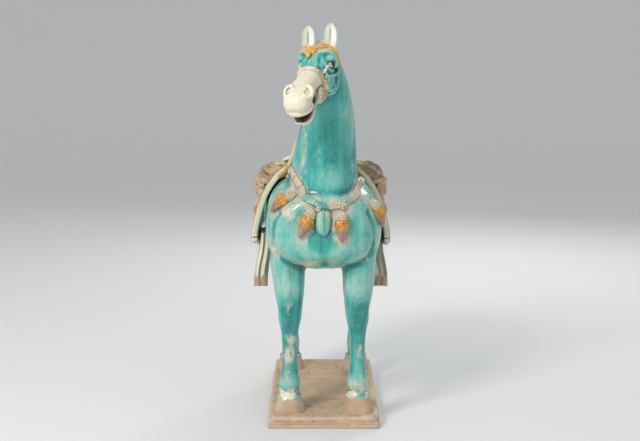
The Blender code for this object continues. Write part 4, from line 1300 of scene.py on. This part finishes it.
def collar_buckle(skin):
    """The knotted buckle of the collar, beside the third pendant, and the knot beside the second."""
    beads = []
    for place, size in (((33, -218, 384), 1.0), ((-15, -222, 380), 0.7)):
        point, normal = skin.nearest(spot(*place))
        ahead = (Vector((1, 0, 0)) - normal * normal.x).normalized()
        turn = Matrix((ahead, ahead.cross(normal), normal)).transposed()
        beads.append((point, 0.0082 * size))
        for count, first, wide, high, lift, radius in ((8, 0, 0.0072, 0.0084, 0.0036, 0.0027),
                                                       (5, 0.4, 0.0042, 0.0048, 0.0068, 0.0026)):
            for step in range(count):
                angle = math.tau * step / count + first
                out = turn @ Vector((math.cos(angle) * wide, math.sin(angle) * high, lift)) * size
                beads.append((point + out, radius * size))
    mesh = bead_mesh(beads, 14, 10)
    paint(mesh, "tint", 0.30 + 0.22 * np.sin(positions(mesh)[:, 0] * 900))
    return mesh


def pad_beads(skin):
    """Beads down the middle of the pad at the centre of the breast."""
    laid = [skin.nearest(spot(-1, -232, 376 - 5.4 * step)) for step in range(10)]
    return bead_mesh([(point + normal * 0.0012, 0.0021) for point, normal in laid], 12, 8)


# Slab

# Scored lines on the slab's front: height and depth in units
SCORES = [(-5, 0.8), (-8.5, 1.0), (-13, 0.8), (-16.5, 0.6)]

# Chips off the slab's edges: middle, radii and push in units
CHIPS = [((97, -204, -3), (12, 14, 9), (-5, 4, -3)), ((99, -186, -2), (7, 9, 7), (-3, 0, -2)),
         ((100, -160, -1), (6, 12, 6), (-2, 0, -2)), ((-99, -150, 0), (6, 20, 6), (2, 0, -2)),
         ((-97, -207, -1), (9, 9, 6), (3, 3, -2)), ((40, -209, -2), (14, 7, 5), (0, 2, -1)),
         ((98, 60, -1), (7, 30, 6), (-3, 0, -2)), ((-60, 210, -1), (26, 8, 6), (0, -3, -2))]

# Slip smeared round each hoof: side and back from its middle, two radii, and height in units
SMEARS = [(6, 4, 44, 50, 3.0), (-24, 20, 34, 26, 2.4), (22, -14, 26, 34, 2.0)]


def slab():
    """The clay slab: uneven edges, a scored front, chips, and smears of slip round the hooves."""
    half_width = (max(FORE_HOOF[0], HIND_HOOF[0]) + HOOF_HALF_WIDTH) * UNIT + 0.005
    bm = bmesh.new()
    size = Matrix.Diagonal((2 * half_width, HIGH_SLAB - LOW_SLAB, SLAB_THICKNESS, 1))
    middle = Matrix.Translation((0, (HIGH_SLAB + LOW_SLAB) / 2, SLAB_THICKNESS / 2))
    bmesh.ops.create_cube(bm, size=1, matrix=middle @ size)
    mesh = fused(bm, SLAB_VOXEL, 4)
    clay = Carving(mesh)
    for height, depth in SCORES:
        line = [(x, -212, height + rise) for x, rise in ((-96, 0), (-40, 0.8), (20, -0.6), (96, 0.5))]
        clay.furrow(line, 1.9, depth)
    for chip in CHIPS:
        clay.press(*chip)
    places, normals = clay.places, clay.normals
    rough = np.zeros(len(places))
    for depth, scale in ((0.0011, 26), (0.0007, 70), (0.0004, 190)):
        rough += [depth * noise.noise(Vector(place) * scale) for place in places]
    top = normals[:, 2] > 0.7
    for side, front, _ in (FORE_HOOF, HIND_HOOF):
        for hand in (-1, 1):
            for x, y, wide, long, tall in SMEARS:
                skirt = np.sqrt(near(places, ((side + x) * hand, front + y, 0), (wide, long, 14)))
                places[:, 2] += np.where(top, skirt * (tall + 900 * rough), 0) * UNIT * 0.5
    places += normals * (rough * np.where(top, 0.8, 1.0))[:, None]
    places[:, 2] = np.where(normals[:, 2] < -0.5, 0.0, np.maximum(places[:, 2], 0.0))
    low, high = np.array(CAD_BOX[0]), np.array(CAD_BOX[1])
    set_positions(mesh, np.clip(places, low - 0.001, high + 0.001))
    paint_hollows(mesh, 12, 0.0008)
    return mesh


# Glazes

class Tone:
    """A number that a glaze's nodes work out; adding and multiplying makes further nodes."""

    def __init__(self, glaze, socket):
        self.glaze = glaze
        self.socket = socket

    def __add__(self, other):
        return self.glaze.math("ADD", self, other)

    def __sub__(self, number):
        return self + -number

    def __mul__(self, other):
        return self.glaze.math("MULTIPLY", self, other)

    def __rsub__(self, number):
        return self.glaze.math("SUBTRACT", number, self)


class Glaze:
    """A node material under construction: short names for the nodes that the glazes use."""

    def __init__(self, name, roughness, coat):
        self.material = bpy.data.materials.new(name)
        self.material.use_nodes = True
        self.tree = self.material.node_tree
        self.shader = self.tree.nodes["Principled BSDF"]
        self.place = self.tree.nodes.new("ShaderNodeTexCoord").outputs["Object"]
        for key, value in (("Roughness", roughness), ("Coat Weight", coat), ("Coat Roughness", 0.12)):
            self.feed(self.shader.inputs[key], value)

    def feed(self, socket, value):
        """Links an input to a tone or to a node's output, or sets it to a plain value."""
        value = value.socket if isinstance(value, Tone) else value
        if isinstance(value, bpy.types.NodeSocket):
            self.tree.links.new(value, socket)
        else:
            socket.default_value = value

    def node(self, kind, inputs, **settings):
        made = self.tree.nodes.new(kind)
        for name, value in settings.items():
            setattr(made, name, value)
        for key, value in inputs.items():
            self.feed(made.inputs[key], value)
        return made

    def stretched(self, x, y, z):
        return self.node("ShaderNodeMapping", {"Vector": self.place, "Scale": (x, y, z)}).outputs["Vector"]

    def noise(self, scale, detail=3.0, rough=0.55, vector=None, warp=0.0):
        settings = {"Vector": vector or self.place, "Scale": scale, "Detail": detail, "Roughness": rough,
                    "Distortion": warp}
        return Tone(self, self.node("ShaderNodeTexNoise", settings).outputs["Fac"])

    def painted(self, name):
        return Tone(self, self.node("ShaderNodeAttribute", {}, attribute_name=name).outputs["Fac"])

    def raised(self):
        """Above 0 on the mesh's ridges and below 0 in its creases."""
        return Tone(self, self.node("ShaderNodeNewGeometry", {}).outputs["Pointiness"]) - 0.5

    def math(self, operation, first, second):
        return Tone(self, self.node("ShaderNodeMath", {0: first, 1: second}, operation=operation).outputs[0])

    def step(self, value, low, high):
        """0 below low, 1 above high, smooth between."""
        settings = {"Value": value, "From Min": low, "From Max": high, "To Min": 0.0, "To Max": 1.0}
        made = self.node("ShaderNodeMapRange", settings, interpolation_type="SMOOTHSTEP")
        return Tone(self, made.outputs["Result"])

    def band(self, value, low, high, soft):
        """1 between low and high, with soft edges."""
        return self.step(value, low - soft, low + soft) * (1 - self.step(value, high - soft, high + soft))

    def mix(self, factor, first, second):
        """The first colour where the factor is 0 and the second where it is 1."""
        made = self.node("ShaderNodeMix", {}, data_type="RGBA")
        for key, value in (("Factor_Float", factor), ("A_Color", first), ("B_Color", second)):
            value = (*value, 1) if isinstance(value, tuple) else value
            self.feed(next(socket for socket in made.inputs if socket.identifier == key), value)
        return next(socket for socket in made.outputs if socket.identifier == "Result_Color")

    def shades(self, value, stops):
        """A colour along a row of (position, colour) stops."""
        made = self.node("ShaderNodeValToRGB", {"Fac": value})
        ramp = made.color_ramp
        while len(ramp.elements) < len(stops):
            ramp.elements.new(0.5)
        for element, (position, colour) in zip(ramp.elements, stops):
            element.position = position
            element.color = (*colour, 1)
        return made.outputs["Color"]

    def finish(self, colour, height, strength, distance, roughness=None, coat=None):
        """Sets the colour, the bump from a height, and the roughness and coat where they vary."""
        bump = self.node("ShaderNodeBump", {"Strength": strength, "Distance": distance, "Height": height})
        for key, value in (("Base Color", colour), ("Normal", bump.outputs["Normal"]),
                           ("Roughness", roughness), ("Coat Weight", coat)):
            if value is not None:
                self.feed(self.shader.inputs[key], value)
        return self.material


TURQUOISE = [(0.0, (0.008, 0.090, 0.088)), (0.28, (0.016, 0.205, 0.190)), (0.50, (0.040, 0.365, 0.325)),
             (0.70, (0.115, 0.485, 0.425)), (0.88, (0.280, 0.570, 0.485)), (1.0, (0.470, 0.640, 0.540))]
CREAM = [(0.0, (0.330, 0.240, 0.140)), (0.35, (0.620, 0.520, 0.350)), (0.65, (0.810, 0.740, 0.570)),
         (1.0, (0.900, 0.850, 0.700))]
GOLD = [(0.0, (0.150, 0.045, 0.008)), (0.30, (0.400, 0.150, 0.016)), (0.55, (0.680, 0.350, 0.045)),
        (0.80, (0.830, 0.540, 0.130)), (1.0, (0.880, 0.700, 0.330))]
BARE = [(0.0, (0.240, 0.135, 0.080)), (0.35, (0.450, 0.298, 0.190)), (0.65, (0.640, 0.460, 0.300)),
        (1.0, (0.800, 0.645, 0.465))]
PLAQUE_TINTS = [(0.0, (0.66, 0.56, 0.42)), (0.25, (0.60, 0.47, 0.36)), (0.45, (0.40, 0.50, 0.30)),
                (0.62, (0.16, 0.44, 0.36)), (0.82, (0.045, 0.36, 0.32)), (1.0, (0.60, 0.30, 0.06))]
SQUARE_TINTS = [(0.10, (0.52, 0.30, 0.05)), (0.14, (0.82, 0.75, 0.58)), (0.36, (0.82, 0.75, 0.58)),
                (0.40, (0.36, 0.55, 0.36)), (0.62, (0.36, 0.55, 0.36)), (0.66, (0.82, 0.75, 0.58)),
                (0.86, (0.82, 0.75, 0.58)), (0.90, (0.20, 0.50, 0.42))]
PALE_GREEN = [(0.0, (0.10, 0.16, 0.04)), (0.35, (0.30, 0.38, 0.12)), (0.65, (0.55, 0.58, 0.27)),
              (1.0, (0.78, 0.76, 0.50))]
THIN_GREEN = [(0.20, (0.36, 0.60, 0.46)), (0.38, (0.64, 0.74, 0.58)), (0.55, (0.80, 0.82, 0.68)),
              (0.85, (0.88, 0.87, 0.76))]
BEAD_CREAM = [(0.0, (0.16, 0.11, 0.06)), (0.4, (0.52, 0.40, 0.27)), (0.7, (0.74, 0.64, 0.48)),
              (1.0, (0.84, 0.78, 0.64))]
TIP_BROWN = [(0.0, (0.10, 0.045, 0.025)), (0.4, (0.36, 0.21, 0.14)), (1.0, (0.66, 0.50, 0.40))]
NOSE_BROWN = [(0.0, (0.16, 0.10, 0.04)), (0.4, (0.42, 0.29, 0.12)), (0.7, (0.64, 0.50, 0.27)),
              (1.0, (0.80, 0.70, 0.48))]
GREEN = (0.115, 0.300, 0.115)
OLIVE = (0.190, 0.150, 0.030)
HOLLOW_BROWN = (0.110, 0.070, 0.045)


def run_tone(glaze, hollow):
    """How thick a run glaze lies, from streaks down the body, broad clouds and the hollows it pools in."""
    broad = glaze.noise(15, 4, 0.55, glaze.stretched(1, 1, 0.45), 0.8)
    streak = glaze.noise(70, 4, 0.6, glaze.stretched(1, 1, 0.09), 0.5)
    fine = glaze.noise(260, 3, 0.6, glaze.stretched(1, 1, 0.16))
    mottle = glaze.noise(85, 5, 0.7)
    tone = broad * 0.52 + streak * 0.56 + fine * 0.2 + mottle * 0.34 + hollow * -0.3
    return tone - 0.305, streak, fine


def bare_clay_colour(glaze):
    grain = glaze.noise(420, 3, 0.7)
    cloud = glaze.noise(26, 4, 0.6)
    return glaze.shades(grain * 0.35 + cloud * 0.68, BARE)


def mottle_of(glaze):
    return glaze.noise(150, 4, 0.7)


def body_glaze():
    glaze = Glaze("turquoise_glaze_run", 0.27, 0.30)
    hollow = glaze.painted("hollow")
    tone, streak, fine = run_tone(glaze, hollow)
    colour = glaze.shades(tone, TURQUOISE)
    clay = bare_clay_colour(glaze)
    flake = glaze.noise(120, 6, 0.72, glaze.stretched(1, 1, 0.55), 0.5)
    patchy = glaze.noise(24, 3, 0.55)
    ragged = (flake - 0.5) * 2.4 + (patchy - 0.5) * 1.6
    cream = glaze.shades(flake * 0.35 + (glaze.noise(40, 3) * 0.5 + 0.28), CREAM)
    # The worn mask pales the glaze and bares the clay. On the lit side of the neck, this paleness is painted
    # light.
    blush = glaze.step(glaze.painted("worn") + ragged, 0.2, 0.68)
    colour = glaze.mix(blush * 0.55, colour, (0.52, 0.52, 0.42))
    worn = glaze.step(glaze.painted("worn") + ragged, 0.52, 0.86)
    pale_clay = glaze.mix(glaze.step(patchy, 0.35, 0.65), clay, (0.74, 0.61, 0.49))
    colour = glaze.mix(worn * 0.86, colour, pale_clay)
    drip = glaze.painted("drip") * glaze.step(flake + streak, 0.92, 1.12)
    colour = glaze.mix(drip * 0.7, colour, OLIVE)
    edge = glaze.painted("muzzle") + (flake - 0.5) * 0.5
    colour = glaze.mix(glaze.step(edge, 0.40, 0.55), colour, cream)
    # Painted shade in the creases of the cream muzzle.
    colour = glaze.mix(glaze.step(hollow, 0.35, 1.0) * (glaze.painted("muzzle") * 0.13), colour,
                       (0.2, 0.12, 0.06))
    wander = (flake - 0.5) * 0.07 + (patchy - 0.5) * 0.75
    height = glaze.painted("foot") + wander
    foot = 1 - glaze.step(height, 0.41, 0.47)
    patch = glaze.step(glaze.noise(34, 3, 0.5), 0.47, 0.53)
    rim = (1 - glaze.step(height, 0.6, 0.66)) * patch
    colour = glaze.mix(rim * 0.9, colour, cream)
    dusty = glaze.mix(glaze.step(patchy, 0.42, 0.66), clay, (0.60, 0.47, 0.37))
    colour = glaze.mix(foot, colour, dusty)
    # Painted shade round the eyes and in the spots below them: near-black teal.
    colour = glaze.mix(glaze.painted("painted_eye_shade") * 0.92, colour, (0.01, 0.036, 0.032))
    # Painted shade in the open mouth and the nostril slits.
    colour = glaze.mix(glaze.painted("mouth"), colour, (0.035, 0.016, 0.010))
    # Darker brown in patches in the deepest hollows.
    hollow_brown_patches = glaze.step(hollow, 0.55, 1.0) * glaze.step(mottle_of(glaze), 0.45, 0.7)
    colour = glaze.mix(hollow_brown_patches * 0.45, colour, HOLLOW_BROWN)
    bare_all = glaze.math("MAXIMUM", foot, worn)
    roughness = bare_all * 0.5 + (flake * 0.16 + 0.17)
    height = streak * 0.5 + (fine * 0.2 + worn * -0.45)
    height = height + glaze.noise(520, 2) * (bare_all * 0.25 + 0.04)
    coat = (1 - bare_all) * 0.28
    return glaze.finish(colour, height, 0.32, 0.0012, roughness, coat)


def plain_run_glaze(name, stops, shift=0.0):
    """One glaze run down a small form, darker in its hollows and thin on its edges."""
    glaze = Glaze(name, 0.30, 0.30)
    hollow = glaze.painted("hollow")
    tone, streak, fine = run_tone(glaze, hollow)
    colour = glaze.shades(tone + shift, stops)
    # Darker brown in patches in the deepest hollows.
    hollow_brown_patches = glaze.step(hollow, 0.45, 1.0) * glaze.step(mottle_of(glaze), 0.4, 0.7)
    colour = glaze.mix(hollow_brown_patches * 0.55, colour, HOLLOW_BROWN)
    roughness = streak * 0.2 + 0.18
    return glaze.finish(colour, streak + fine * 0.4, 0.25, 0.001, roughness)


def band_glaze(name, ground, tint):
    """A bridle band: one glaze, with a second over it where the band is painted gold."""
    glaze = Glaze(name, 0.32, 0.28)
    cloud = glaze.noise(110, 4, 0.6)
    tone = cloud * 0.8 + glaze.noise(420, 3, 0.6) * 0.3
    gold = glaze.step(glaze.painted("gold") + (cloud - 0.5) * 3.0, 0.25, 0.75)
    colour = glaze.mix(gold, glaze.shades(tone, ground), glaze.shades(tone, tint))
    return glaze.finish(colour, cloud, 0.25, 0.0008)


def amber_glaze():
    glaze = Glaze("amber_glaze_run", 0.28, 0.30)
    cloud = glaze.noise(90, 4, 0.6)
    speck = glaze.noise(420, 3, 0.6)
    raised = glaze.raised()
    tone = cloud * 0.75 + speck * 0.3 + raised * 1.6
    colour = glaze.shades(tone + 0.12, GOLD)
    pale = glaze.step(cloud + raised * 1.2, 0.6, 0.74)
    colour = glaze.mix(pale * 0.55, colour, (0.78, 0.66, 0.42))
    return glaze.finish(colour, speck, 0.2, 0.0006, speck * 0.2 + 0.2)


def pendant_glaze():
    """Cream beaded cap, amber netted body, and a bare brown point."""
    glaze = Glaze("pendant_glazes", 0.30, 0.28)
    share = glaze.painted("share")
    cloud = glaze.noise(110, 4, 0.6)
    speck = glaze.noise(480, 3, 0.6)
    raised = glaze.raised() * 2.2
    ragged = share + (cloud - 0.5) * 0.16
    lit = (cloud - 0.5) * 1.5 + 0.47
    amber = glaze.shades(lit * 0.75 + speck * 0.25 + raised, GOLD)
    cream = glaze.shades(cloud * 0.9 + raised, BEAD_CREAM)
    tip = glaze.shades(cloud * 0.9 + raised, TIP_BROWN)
    colour = glaze.mix(glaze.step(ragged, 0.23, 0.28), cream, amber)
    colour = glaze.mix(glaze.step(ragged, 0.54, 0.66), colour, tip)
    green = glaze.band(ragged, 0.18, 0.28, 0.02) * glaze.step(cloud, 0.5, 0.6)
    colour = glaze.mix(green * 0.75, colour, GREEN)
    roughness = glaze.step(ragged, 0.54, 0.66) * 0.25 + (speck * 0.15 + 0.2)
    return glaze.finish(colour, speck + cloud, 0.25, 0.0007, roughness)


def plaque_glaze():
    """Plaques in cream, pale green, turquoise and amber by turns, worn on their edges, with painted shade in
    their crevices.
    """
    glaze = Glaze("plaque_glazes", 0.30, 0.28)
    cloud = glaze.noise(80, 4, 0.6)
    speck = glaze.noise(420, 3, 0.65)
    raised = glaze.raised() * 2.0
    tint = glaze.painted("tint") + (cloud - 0.5) * 0.18
    colour = glaze.shades(tint, PLAQUE_TINTS)
    rail = glaze.step(glaze.painted("edge"), 0.45, 0.7) * glaze.step(glaze.painted("tint"), 0.62, 0.45)
    colour = glaze.mix(rail * 0.8, colour, (0.76, 0.68, 0.52))
    worn = glaze.step(speck + raised + cloud * 0.5, 0.8, 0.98)
    colour = glaze.mix(worn * 0.7, colour, (0.7, 0.58, 0.46))
    green = glaze.step(glaze.noise(60, 4, 0.6, glaze.stretched(1, 1, 0.2)), 0.60, 0.68)
    colour = glaze.mix(green * 0.6, colour, (0.14, 0.34, 0.2))
    # Painted shade in the crevices between plaques, beads and strap.
    sunk = glaze.step(raised * -1.0, 0.02, 0.12)
    colour = glaze.mix(sunk * 0.75, colour, (0.06, 0.055, 0.035))
    return glaze.finish(colour, speck + cloud, 0.3, 0.0008, speck * 0.25 + 0.2)


def striped_cloth(name, ground, stripes, ends, soft=0.4):
    """A glazed cloth with runs of colour at set distances from its rim; ends adds what lies over them."""
    glaze = Glaze(name, 0.32, 0.25)
    cloud = glaze.noise(34, 4, 0.6)
    run = glaze.noise(90, 4, 0.6, glaze.stretched(1, 1, 0.12), 0.4)
    speck = glaze.noise(380, 3, 0.65)
    colour = glaze.shades(cloud * 0.55 + run * 0.5, ground)
    rim = glaze.painted("rim") + (run - 0.5) * 3.0
    for low, high, tint, strength in stripes:
        band = glaze.band(rim, low, high, soft)
        colour = glaze.mix(band * (glaze.step(run, 0.22, 0.55) * strength), colour, tint)
    colour = ends(glaze, colour, cloud, run)
    worn = glaze.step(speck * 0.5 + cloud, 0.86, 0.98)
    colour = glaze.mix(worn * 0.7, colour, (0.62, 0.47, 0.38))
    return glaze.finish(colour, run + speck * 0.4, 0.35, 0.001, speck * 0.22 + 0.24)


RIM_STRIPES = [(-9, 4.5, (0.84, 0.77, 0.60), 0.9), (-2.6, -1.5, (0.20, 0.34, 0.12), 0.8),
               (0.6, 1.8, (0.50, 0.26, 0.05), 0.8), (5.0, 7.5, (0.55, 0.25, 0.04), 0.85),
               (8.5, 13, (0.16, 0.36, 0.15), 0.75), (14.5, 17, (0.78, 0.70, 0.50), 0.9),
               (18, 20.5, (0.60, 0.30, 0.05), 0.8)]
FLAP_STRIPES = [(-9, 1.5, (0.56, 0.44, 0.16), 0.8), (2, 8, (0.82, 0.77, 0.60), 0.8),
                (8, 11, (0.30, 0.44, 0.25), 0.6), (14, 21, (0.40, 0.56, 0.44), 0.6),
                (27, 37, (0.24, 0.42, 0.27), 0.5), (46, 51, (0.55, 0.33, 0.09), 0.5)]


def blanket_cloth():
    def ends(glaze, colour, cloud, run):
        field = glaze.step(glaze.painted("rim"), 21, 25)
        spots = glaze.step(glaze.noise(75, 2, 0.4), 0.54, 0.60)
        colour = glaze.mix(field * 0.85, colour, (0.075, 0.26, 0.13))
        return glaze.mix(field * spots * 0.8, colour, (0.76, 0.66, 0.44))

    return striped_cloth("blanket_glazes", CREAM, RIM_STRIPES, ends)


def saddle_cloth():
    def ends(glaze, colour, cloud, run):
        low = glaze.step(glaze.painted("low") + (run - 0.5) * 0.6, 0.3, 0.72)
        return glaze.mix(low * 0.85, colour, (0.34, 0.17, 0.035))

    return striped_cloth("saddle_glazes", PALE_GREEN, [(-9, 5, (0.66, 0.66, 0.36), 0.85)], ends)


def flap_cloth():
    def ends(glaze, colour, cloud, run):
        colour = glaze.mix(glaze.painted("inside") * 0.85, colour, (0.045, 0.11, 0.07))
        clay = bare_clay_colour(glaze)
        foot = glaze.painted("foot") + (cloud - 0.5) * 0.5
        sunk = glaze.step(glaze.painted("hollow"), 0.1, 0.8)
        colour = glaze.mix(sunk * 0.45, colour, (0.2, 0.22, 0.11))
        return glaze.mix(glaze.step(foot, 0.4, 0.6), colour, glaze.mix(0.45, clay, (0.34, 0.21, 0.14)))

    return striped_cloth("flap_glazes", CREAM, FLAP_STRIPES, ends, 1.6)


def bundle_clay():
    """Gathered cloth left mostly bare: pinkish clay with thin green and cream washes."""
    glaze = Glaze("bundle_clay_washed", 0.62, 0.04)
    clay = bare_clay_colour(glaze)
    hollow = glaze.painted("hollow")
    wash = glaze.step(glaze.noise(38, 4, 0.6) + hollow * 0.12, 0.5, 0.62)
    colour = glaze.mix(wash * 0.45, clay, (0.42, 0.44, 0.28))
    cream = glaze.step(glaze.noise(52, 3, 0.6, glaze.stretched(1, 1, 0.5)), 0.56, 0.64)
    colour = glaze.mix(cream * 0.5, colour, (0.76, 0.66, 0.5))
    colour = glaze.mix(glaze.step(hollow, 0.2, 0.9) * 0.65, colour, (0.15, 0.135, 0.07))
    squares = glaze.shades(glaze.painted("square"), SQUARE_TINTS)
    colour = glaze.mix(glaze.painted("strip") * 0.9, colour, squares)
    grain = glaze.noise(600, 3, 0.7)
    return glaze.finish(colour, grain + glaze.noise(140, 3), 0.4, 0.0008)


def ear_glaze():
    glaze = Glaze("ear_glaze_thin", 0.28, 0.3)
    run = glaze.noise(110, 4, 0.6, glaze.stretched(1, 1, 0.15))
    cloud = glaze.noise(60, 4, 0.6)
    colour = glaze.shades(run * 0.7 + cloud * 0.35, THIN_GREEN)
    tinge = glaze.step(glaze.painted("edge") + (run - 0.5) * 1.6, 0.55, 1.0)
    colour = glaze.mix(tinge * 0.7, colour, (0.16, 0.46, 0.36))
    worn = glaze.step(glaze.painted("worn") + (cloud * 1.6 - 0.8), 0.35, 0.95)
    colour = glaze.mix(worn * 0.8, colour, (0.78, 0.66, 0.55))
    colour = glaze.mix(glaze.painted("groove") * 0.75, colour, (0.1, 0.12, 0.06))
    return glaze.finish(colour, run, 0.25, 0.0008, run * 0.2 + 0.2)


def eye_glaze():
    glaze = Glaze("eye_glazes", 0.12, 0.5)
    cloud = glaze.noise(300, 3)
    white = glaze.mix(cloud, (0.86, 0.76, 0.62), (0.62, 0.47, 0.36))
    colour = glaze.mix(glaze.painted("iris"), white, (0.016, 0.009, 0.006))
    return glaze.finish(colour, cloud, 0.1, 0.0004)


def slab_clay():
    """Bare fired clay, paler on its ridges and darker brown in its hollows."""
    glaze = Glaze("slab_clay_fired", 0.78, 0.0)
    grain = glaze.noise(520, 4, 0.7)
    cloud = glaze.noise(16, 4, 0.6, None, 0.8)
    scrape = glaze.noise(60, 3, 0.6, glaze.stretched(0.15, 1, 1))
    tone = grain * 0.28 + (cloud * 0.52 + scrape * 0.25)
    colour = glaze.shades(tone, BARE)
    hollow = glaze.painted("hollow")
    # Darker brown in the hollows and paler on the ridges.
    colour = glaze.mix(glaze.step(hollow, 0.15, 0.8) * 0.75, colour, (0.16, 0.1, 0.065))
    colour = glaze.mix(glaze.step(hollow * -1.0, 0.15, 0.8) * 0.45, colour, (0.78, 0.66, 0.52))
    stain = glaze.step(glaze.noise(30, 5, 0.65), 0.58, 0.70)
    colour = glaze.mix(stain * 0.5, colour, (0.27, 0.18, 0.12))
    lines = glaze.noise(240, 3, 0.6, glaze.stretched(0.04, 1, 1))
    height = grain + scrape * 0.8 + lines * 0.9
    return glaze.finish(colour, height, 0.6, 0.0013)


def turquoise_beads():
    glaze = Glaze("turquoise_glaze_beads", 0.28, 0.3)
    colour = glaze.shades(glaze.noise(90, 3), [(0.3, (0.10, 0.44, 0.39)), (0.7, (0.30, 0.60, 0.52))])
    return glaze.finish(colour, glaze.noise(300, 2), 0.1, 0.0004)


# Putting the horse together

def add_piece(name, mesh, material, sharp=None):
    """An object that rides the body, in its glaze and with smooth shading."""
    mesh.materials.clear()
    mesh.materials.append(material)
    mesh.shade_smooth()
    if sharp:
        mesh.set_sharp_from_angle(angle=math.radians(sharp))
    piece = bpy.data.objects.new(name, mesh)
    bpy.context.scene.collection.objects.link(piece)
    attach(piece, "root")
    return piece


def build_horse():
    body = body_mesh()
    skin = Skin(body)
    paint_body(body, skin)
    turquoise = body_glaze()
    piece = add_piece("horse_body", body, turquoise)
    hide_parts(NODE)
    amber = amber_glaze()
    ears = ear_glaze()
    add_piece("ear_right", ear((-27, -180, 650), (-27, -171, 688)), ears)
    add_piece("ear_left", ear((11, -178, 654), (12, -167, 693)), ears)
    eyes = eye_glaze()
    for side, hand in SIDES:
        add_piece(f"eye_{side}", eye(hand), eyes)
    add_piece("forehead_rosette", rosette(), amber)
    band_width, band_thickness = STRAP_WIDTH * 0.62, STRAP_THICKNESS * 0.6
    brow = band_glaze("brow_band_glazes", BARE, GOLD)
    mesh = ridged_band(skin, BROWBAND, False, 1.35 * band_width, band_thickness, -2)
    add_piece("brow_band", mesh, brow)
    nose = band_glaze("nose_band_glazes", CREAM, NOSE_BROWN)
    mesh = ridged_band(skin, NOSEBAND, True, band_width, band_thickness, 5)
    add_piece("nose_band", mesh, nose)
    cream = plain_run_glaze("cream_glaze_run", CREAM, 0.12)
    add_piece("nose_band_studs", noseband_studs(skin), cream)
    bridle = plain_run_glaze("bridle_glaze_run", TURQUOISE, 0.24)
    add_piece("cheek_straps", head_straps(skin, CHEEK_STRAPS), bridle)
    add_piece("face_straps", head_straps(skin, FACE_STRAPS), cream)
    add_piece("bit_rings", bit_rings(), cream)
    dark = plain_run_glaze("mane_glaze_run", TURQUOISE, -0.12)
    add_piece("mane", mane(), dark)
    add_piece("tail", tail(), dark)
    add_piece("saddle_blanket", blanket(), blanket_cloth())
    add_piece("saddle", saddle(), saddle_cloth())
    flaps, bundles = flap_cloth(), bundle_clay()
    for side, hand in SIDES:
        add_piece(f"gathered_cloth_{side}", gathers(hand), bundles)
        add_piece(f"cloth_knot_{side}", knot(hand), bundles)
        add_piece(f"flap_{side}", flap(hand), flaps, 50)
    plaques, pendants = plaque_glaze(), pendant_glaze()
    plated_strap(skin, COLLAR, "breast_collar", plaques, COLLAR_TINTS)
    add_piece("collar_knots", collar_buckle(skin), plaques)
    add_piece("pad_beads", pad_beads(skin), turquoise_beads())
    for index, (top, tip) in enumerate(COLLAR_PENDANTS):
        add_piece(f"collar_pendant_{index + 1}", pendant(skin, top, tip), pendants)
    plated_strap(skin, CRUPPER_BACK, "crupper_back", plaques, CRUPPER_TINTS)
    for side, hand in SIDES:
        plated_strap(skin, sided(CRUPPER_SIDE, hand), f"crupper_{side}", plaques, CRUPPER_TINTS)
        bm = bmesh.new()
        strap(bm, eased(laid_path(skin, sided(CRUPPER_CROSS, hand), 10)), STRAP_WIDTH * 0.8, STRAP_THICKNESS)
        add_piece(f"crupper_cross_{side}", to_mesh(bm), cream)
        for index, ends in enumerate(CRUPPER_PENDANTS):
            mesh = pendant(skin, *sided(ends, hand))
            add_piece(f"crupper_pendant_{side}_{index + 1}", mesh, pendants)
    add_piece("clay_slab", slab(), slab_clay())


# Stage

def area_light(name, place, aim, size, energy, colour):
    data = bpy.data.lights.new(name, "AREA")
    data.size = size
    data.energy = energy
    data.color = colour
    light = bpy.data.objects.new(name, data)
    light.location = place
    light.rotation_mode = "QUATERNION"
    light.rotation_quaternion = (Vector(aim) - Vector(place)).to_track_quat("-Z", "Y")
    bpy.context.scene.collection.objects.link(light)


def floor_dish():
    """A round dish of pale paper, flat under the horse and rising at its rim."""
    profile = [(0.4 * FLOOR_FLAT, FLOOR_LEVEL), (FLOOR_FLAT, FLOOR_LEVEL)]
    profile += [(FLOOR_FLAT + FLOOR_RISE * math.sin(turn), FLOOR_LEVEL + FLOOR_RISE * (1 - math.cos(turn)))
                for turn in np.linspace(0.1, math.pi / 2, 16)]
    around = 96
    corners = []
    for reach, z in profile:
        for step in range(around):
            angle = math.tau * step / around
            corners.append((reach * math.cos(angle), reach * math.sin(angle), z))
    faces = [tuple(range(around))]
    for low in range(0, around * (len(profile) - 1), around):
        high = low + around
        for step in range(around):
            after = (step + 1) % around
            faces.append((low + step, high + step, high + after, low + after))
    sheet = bpy.data.meshes.new("floor")
    sheet.from_pydata(corners, [], faces)
    sheet.shade_smooth()
    paper = bpy.data.materials.new("floor_pale")
    paper.use_nodes = True
    paper.node_tree.nodes["Principled BSDF"].inputs["Base Color"].default_value = PAPER_COLOUR
    paper.node_tree.nodes["Principled BSDF"].inputs["Roughness"].default_value = 0.75
    sheet.materials.append(paper)
    return bpy.data.objects.new("floor", sheet)


def stage():
    """The paper dish, an even sky, three lamps and the camera."""
    scene = bpy.context.scene
    floor = floor_dish()
    scene.collection.objects.link(floor)
    world = bpy.data.worlds.new("studio")
    world.use_nodes = True
    world.node_tree.nodes["Background"].inputs["Color"].default_value = SKY_COLOUR
    world.node_tree.nodes["Background"].inputs["Strength"].default_value = SKY_STRENGTH
    scene.world = world
    for lamp in LAMPS:
        area_light(*lamp)
    camera = bpy.data.objects.new("camera", bpy.data.cameras.new("camera"))
    camera.data.sensor_width = SENSOR_WIDTH
    camera.data.lens = SENSOR_WIDTH * CAMERA_FOCUS / FRAME_WIDTH
    camera.location = CAMERA_PLACE
    camera.rotation_euler = (math.pi / 2 - CAMERA_PITCH, 0, 0)
    scene.collection.objects.link(camera)
    scene.camera = camera
    scene.view_settings.view_transform = "Standard"


build_horse()
stage()
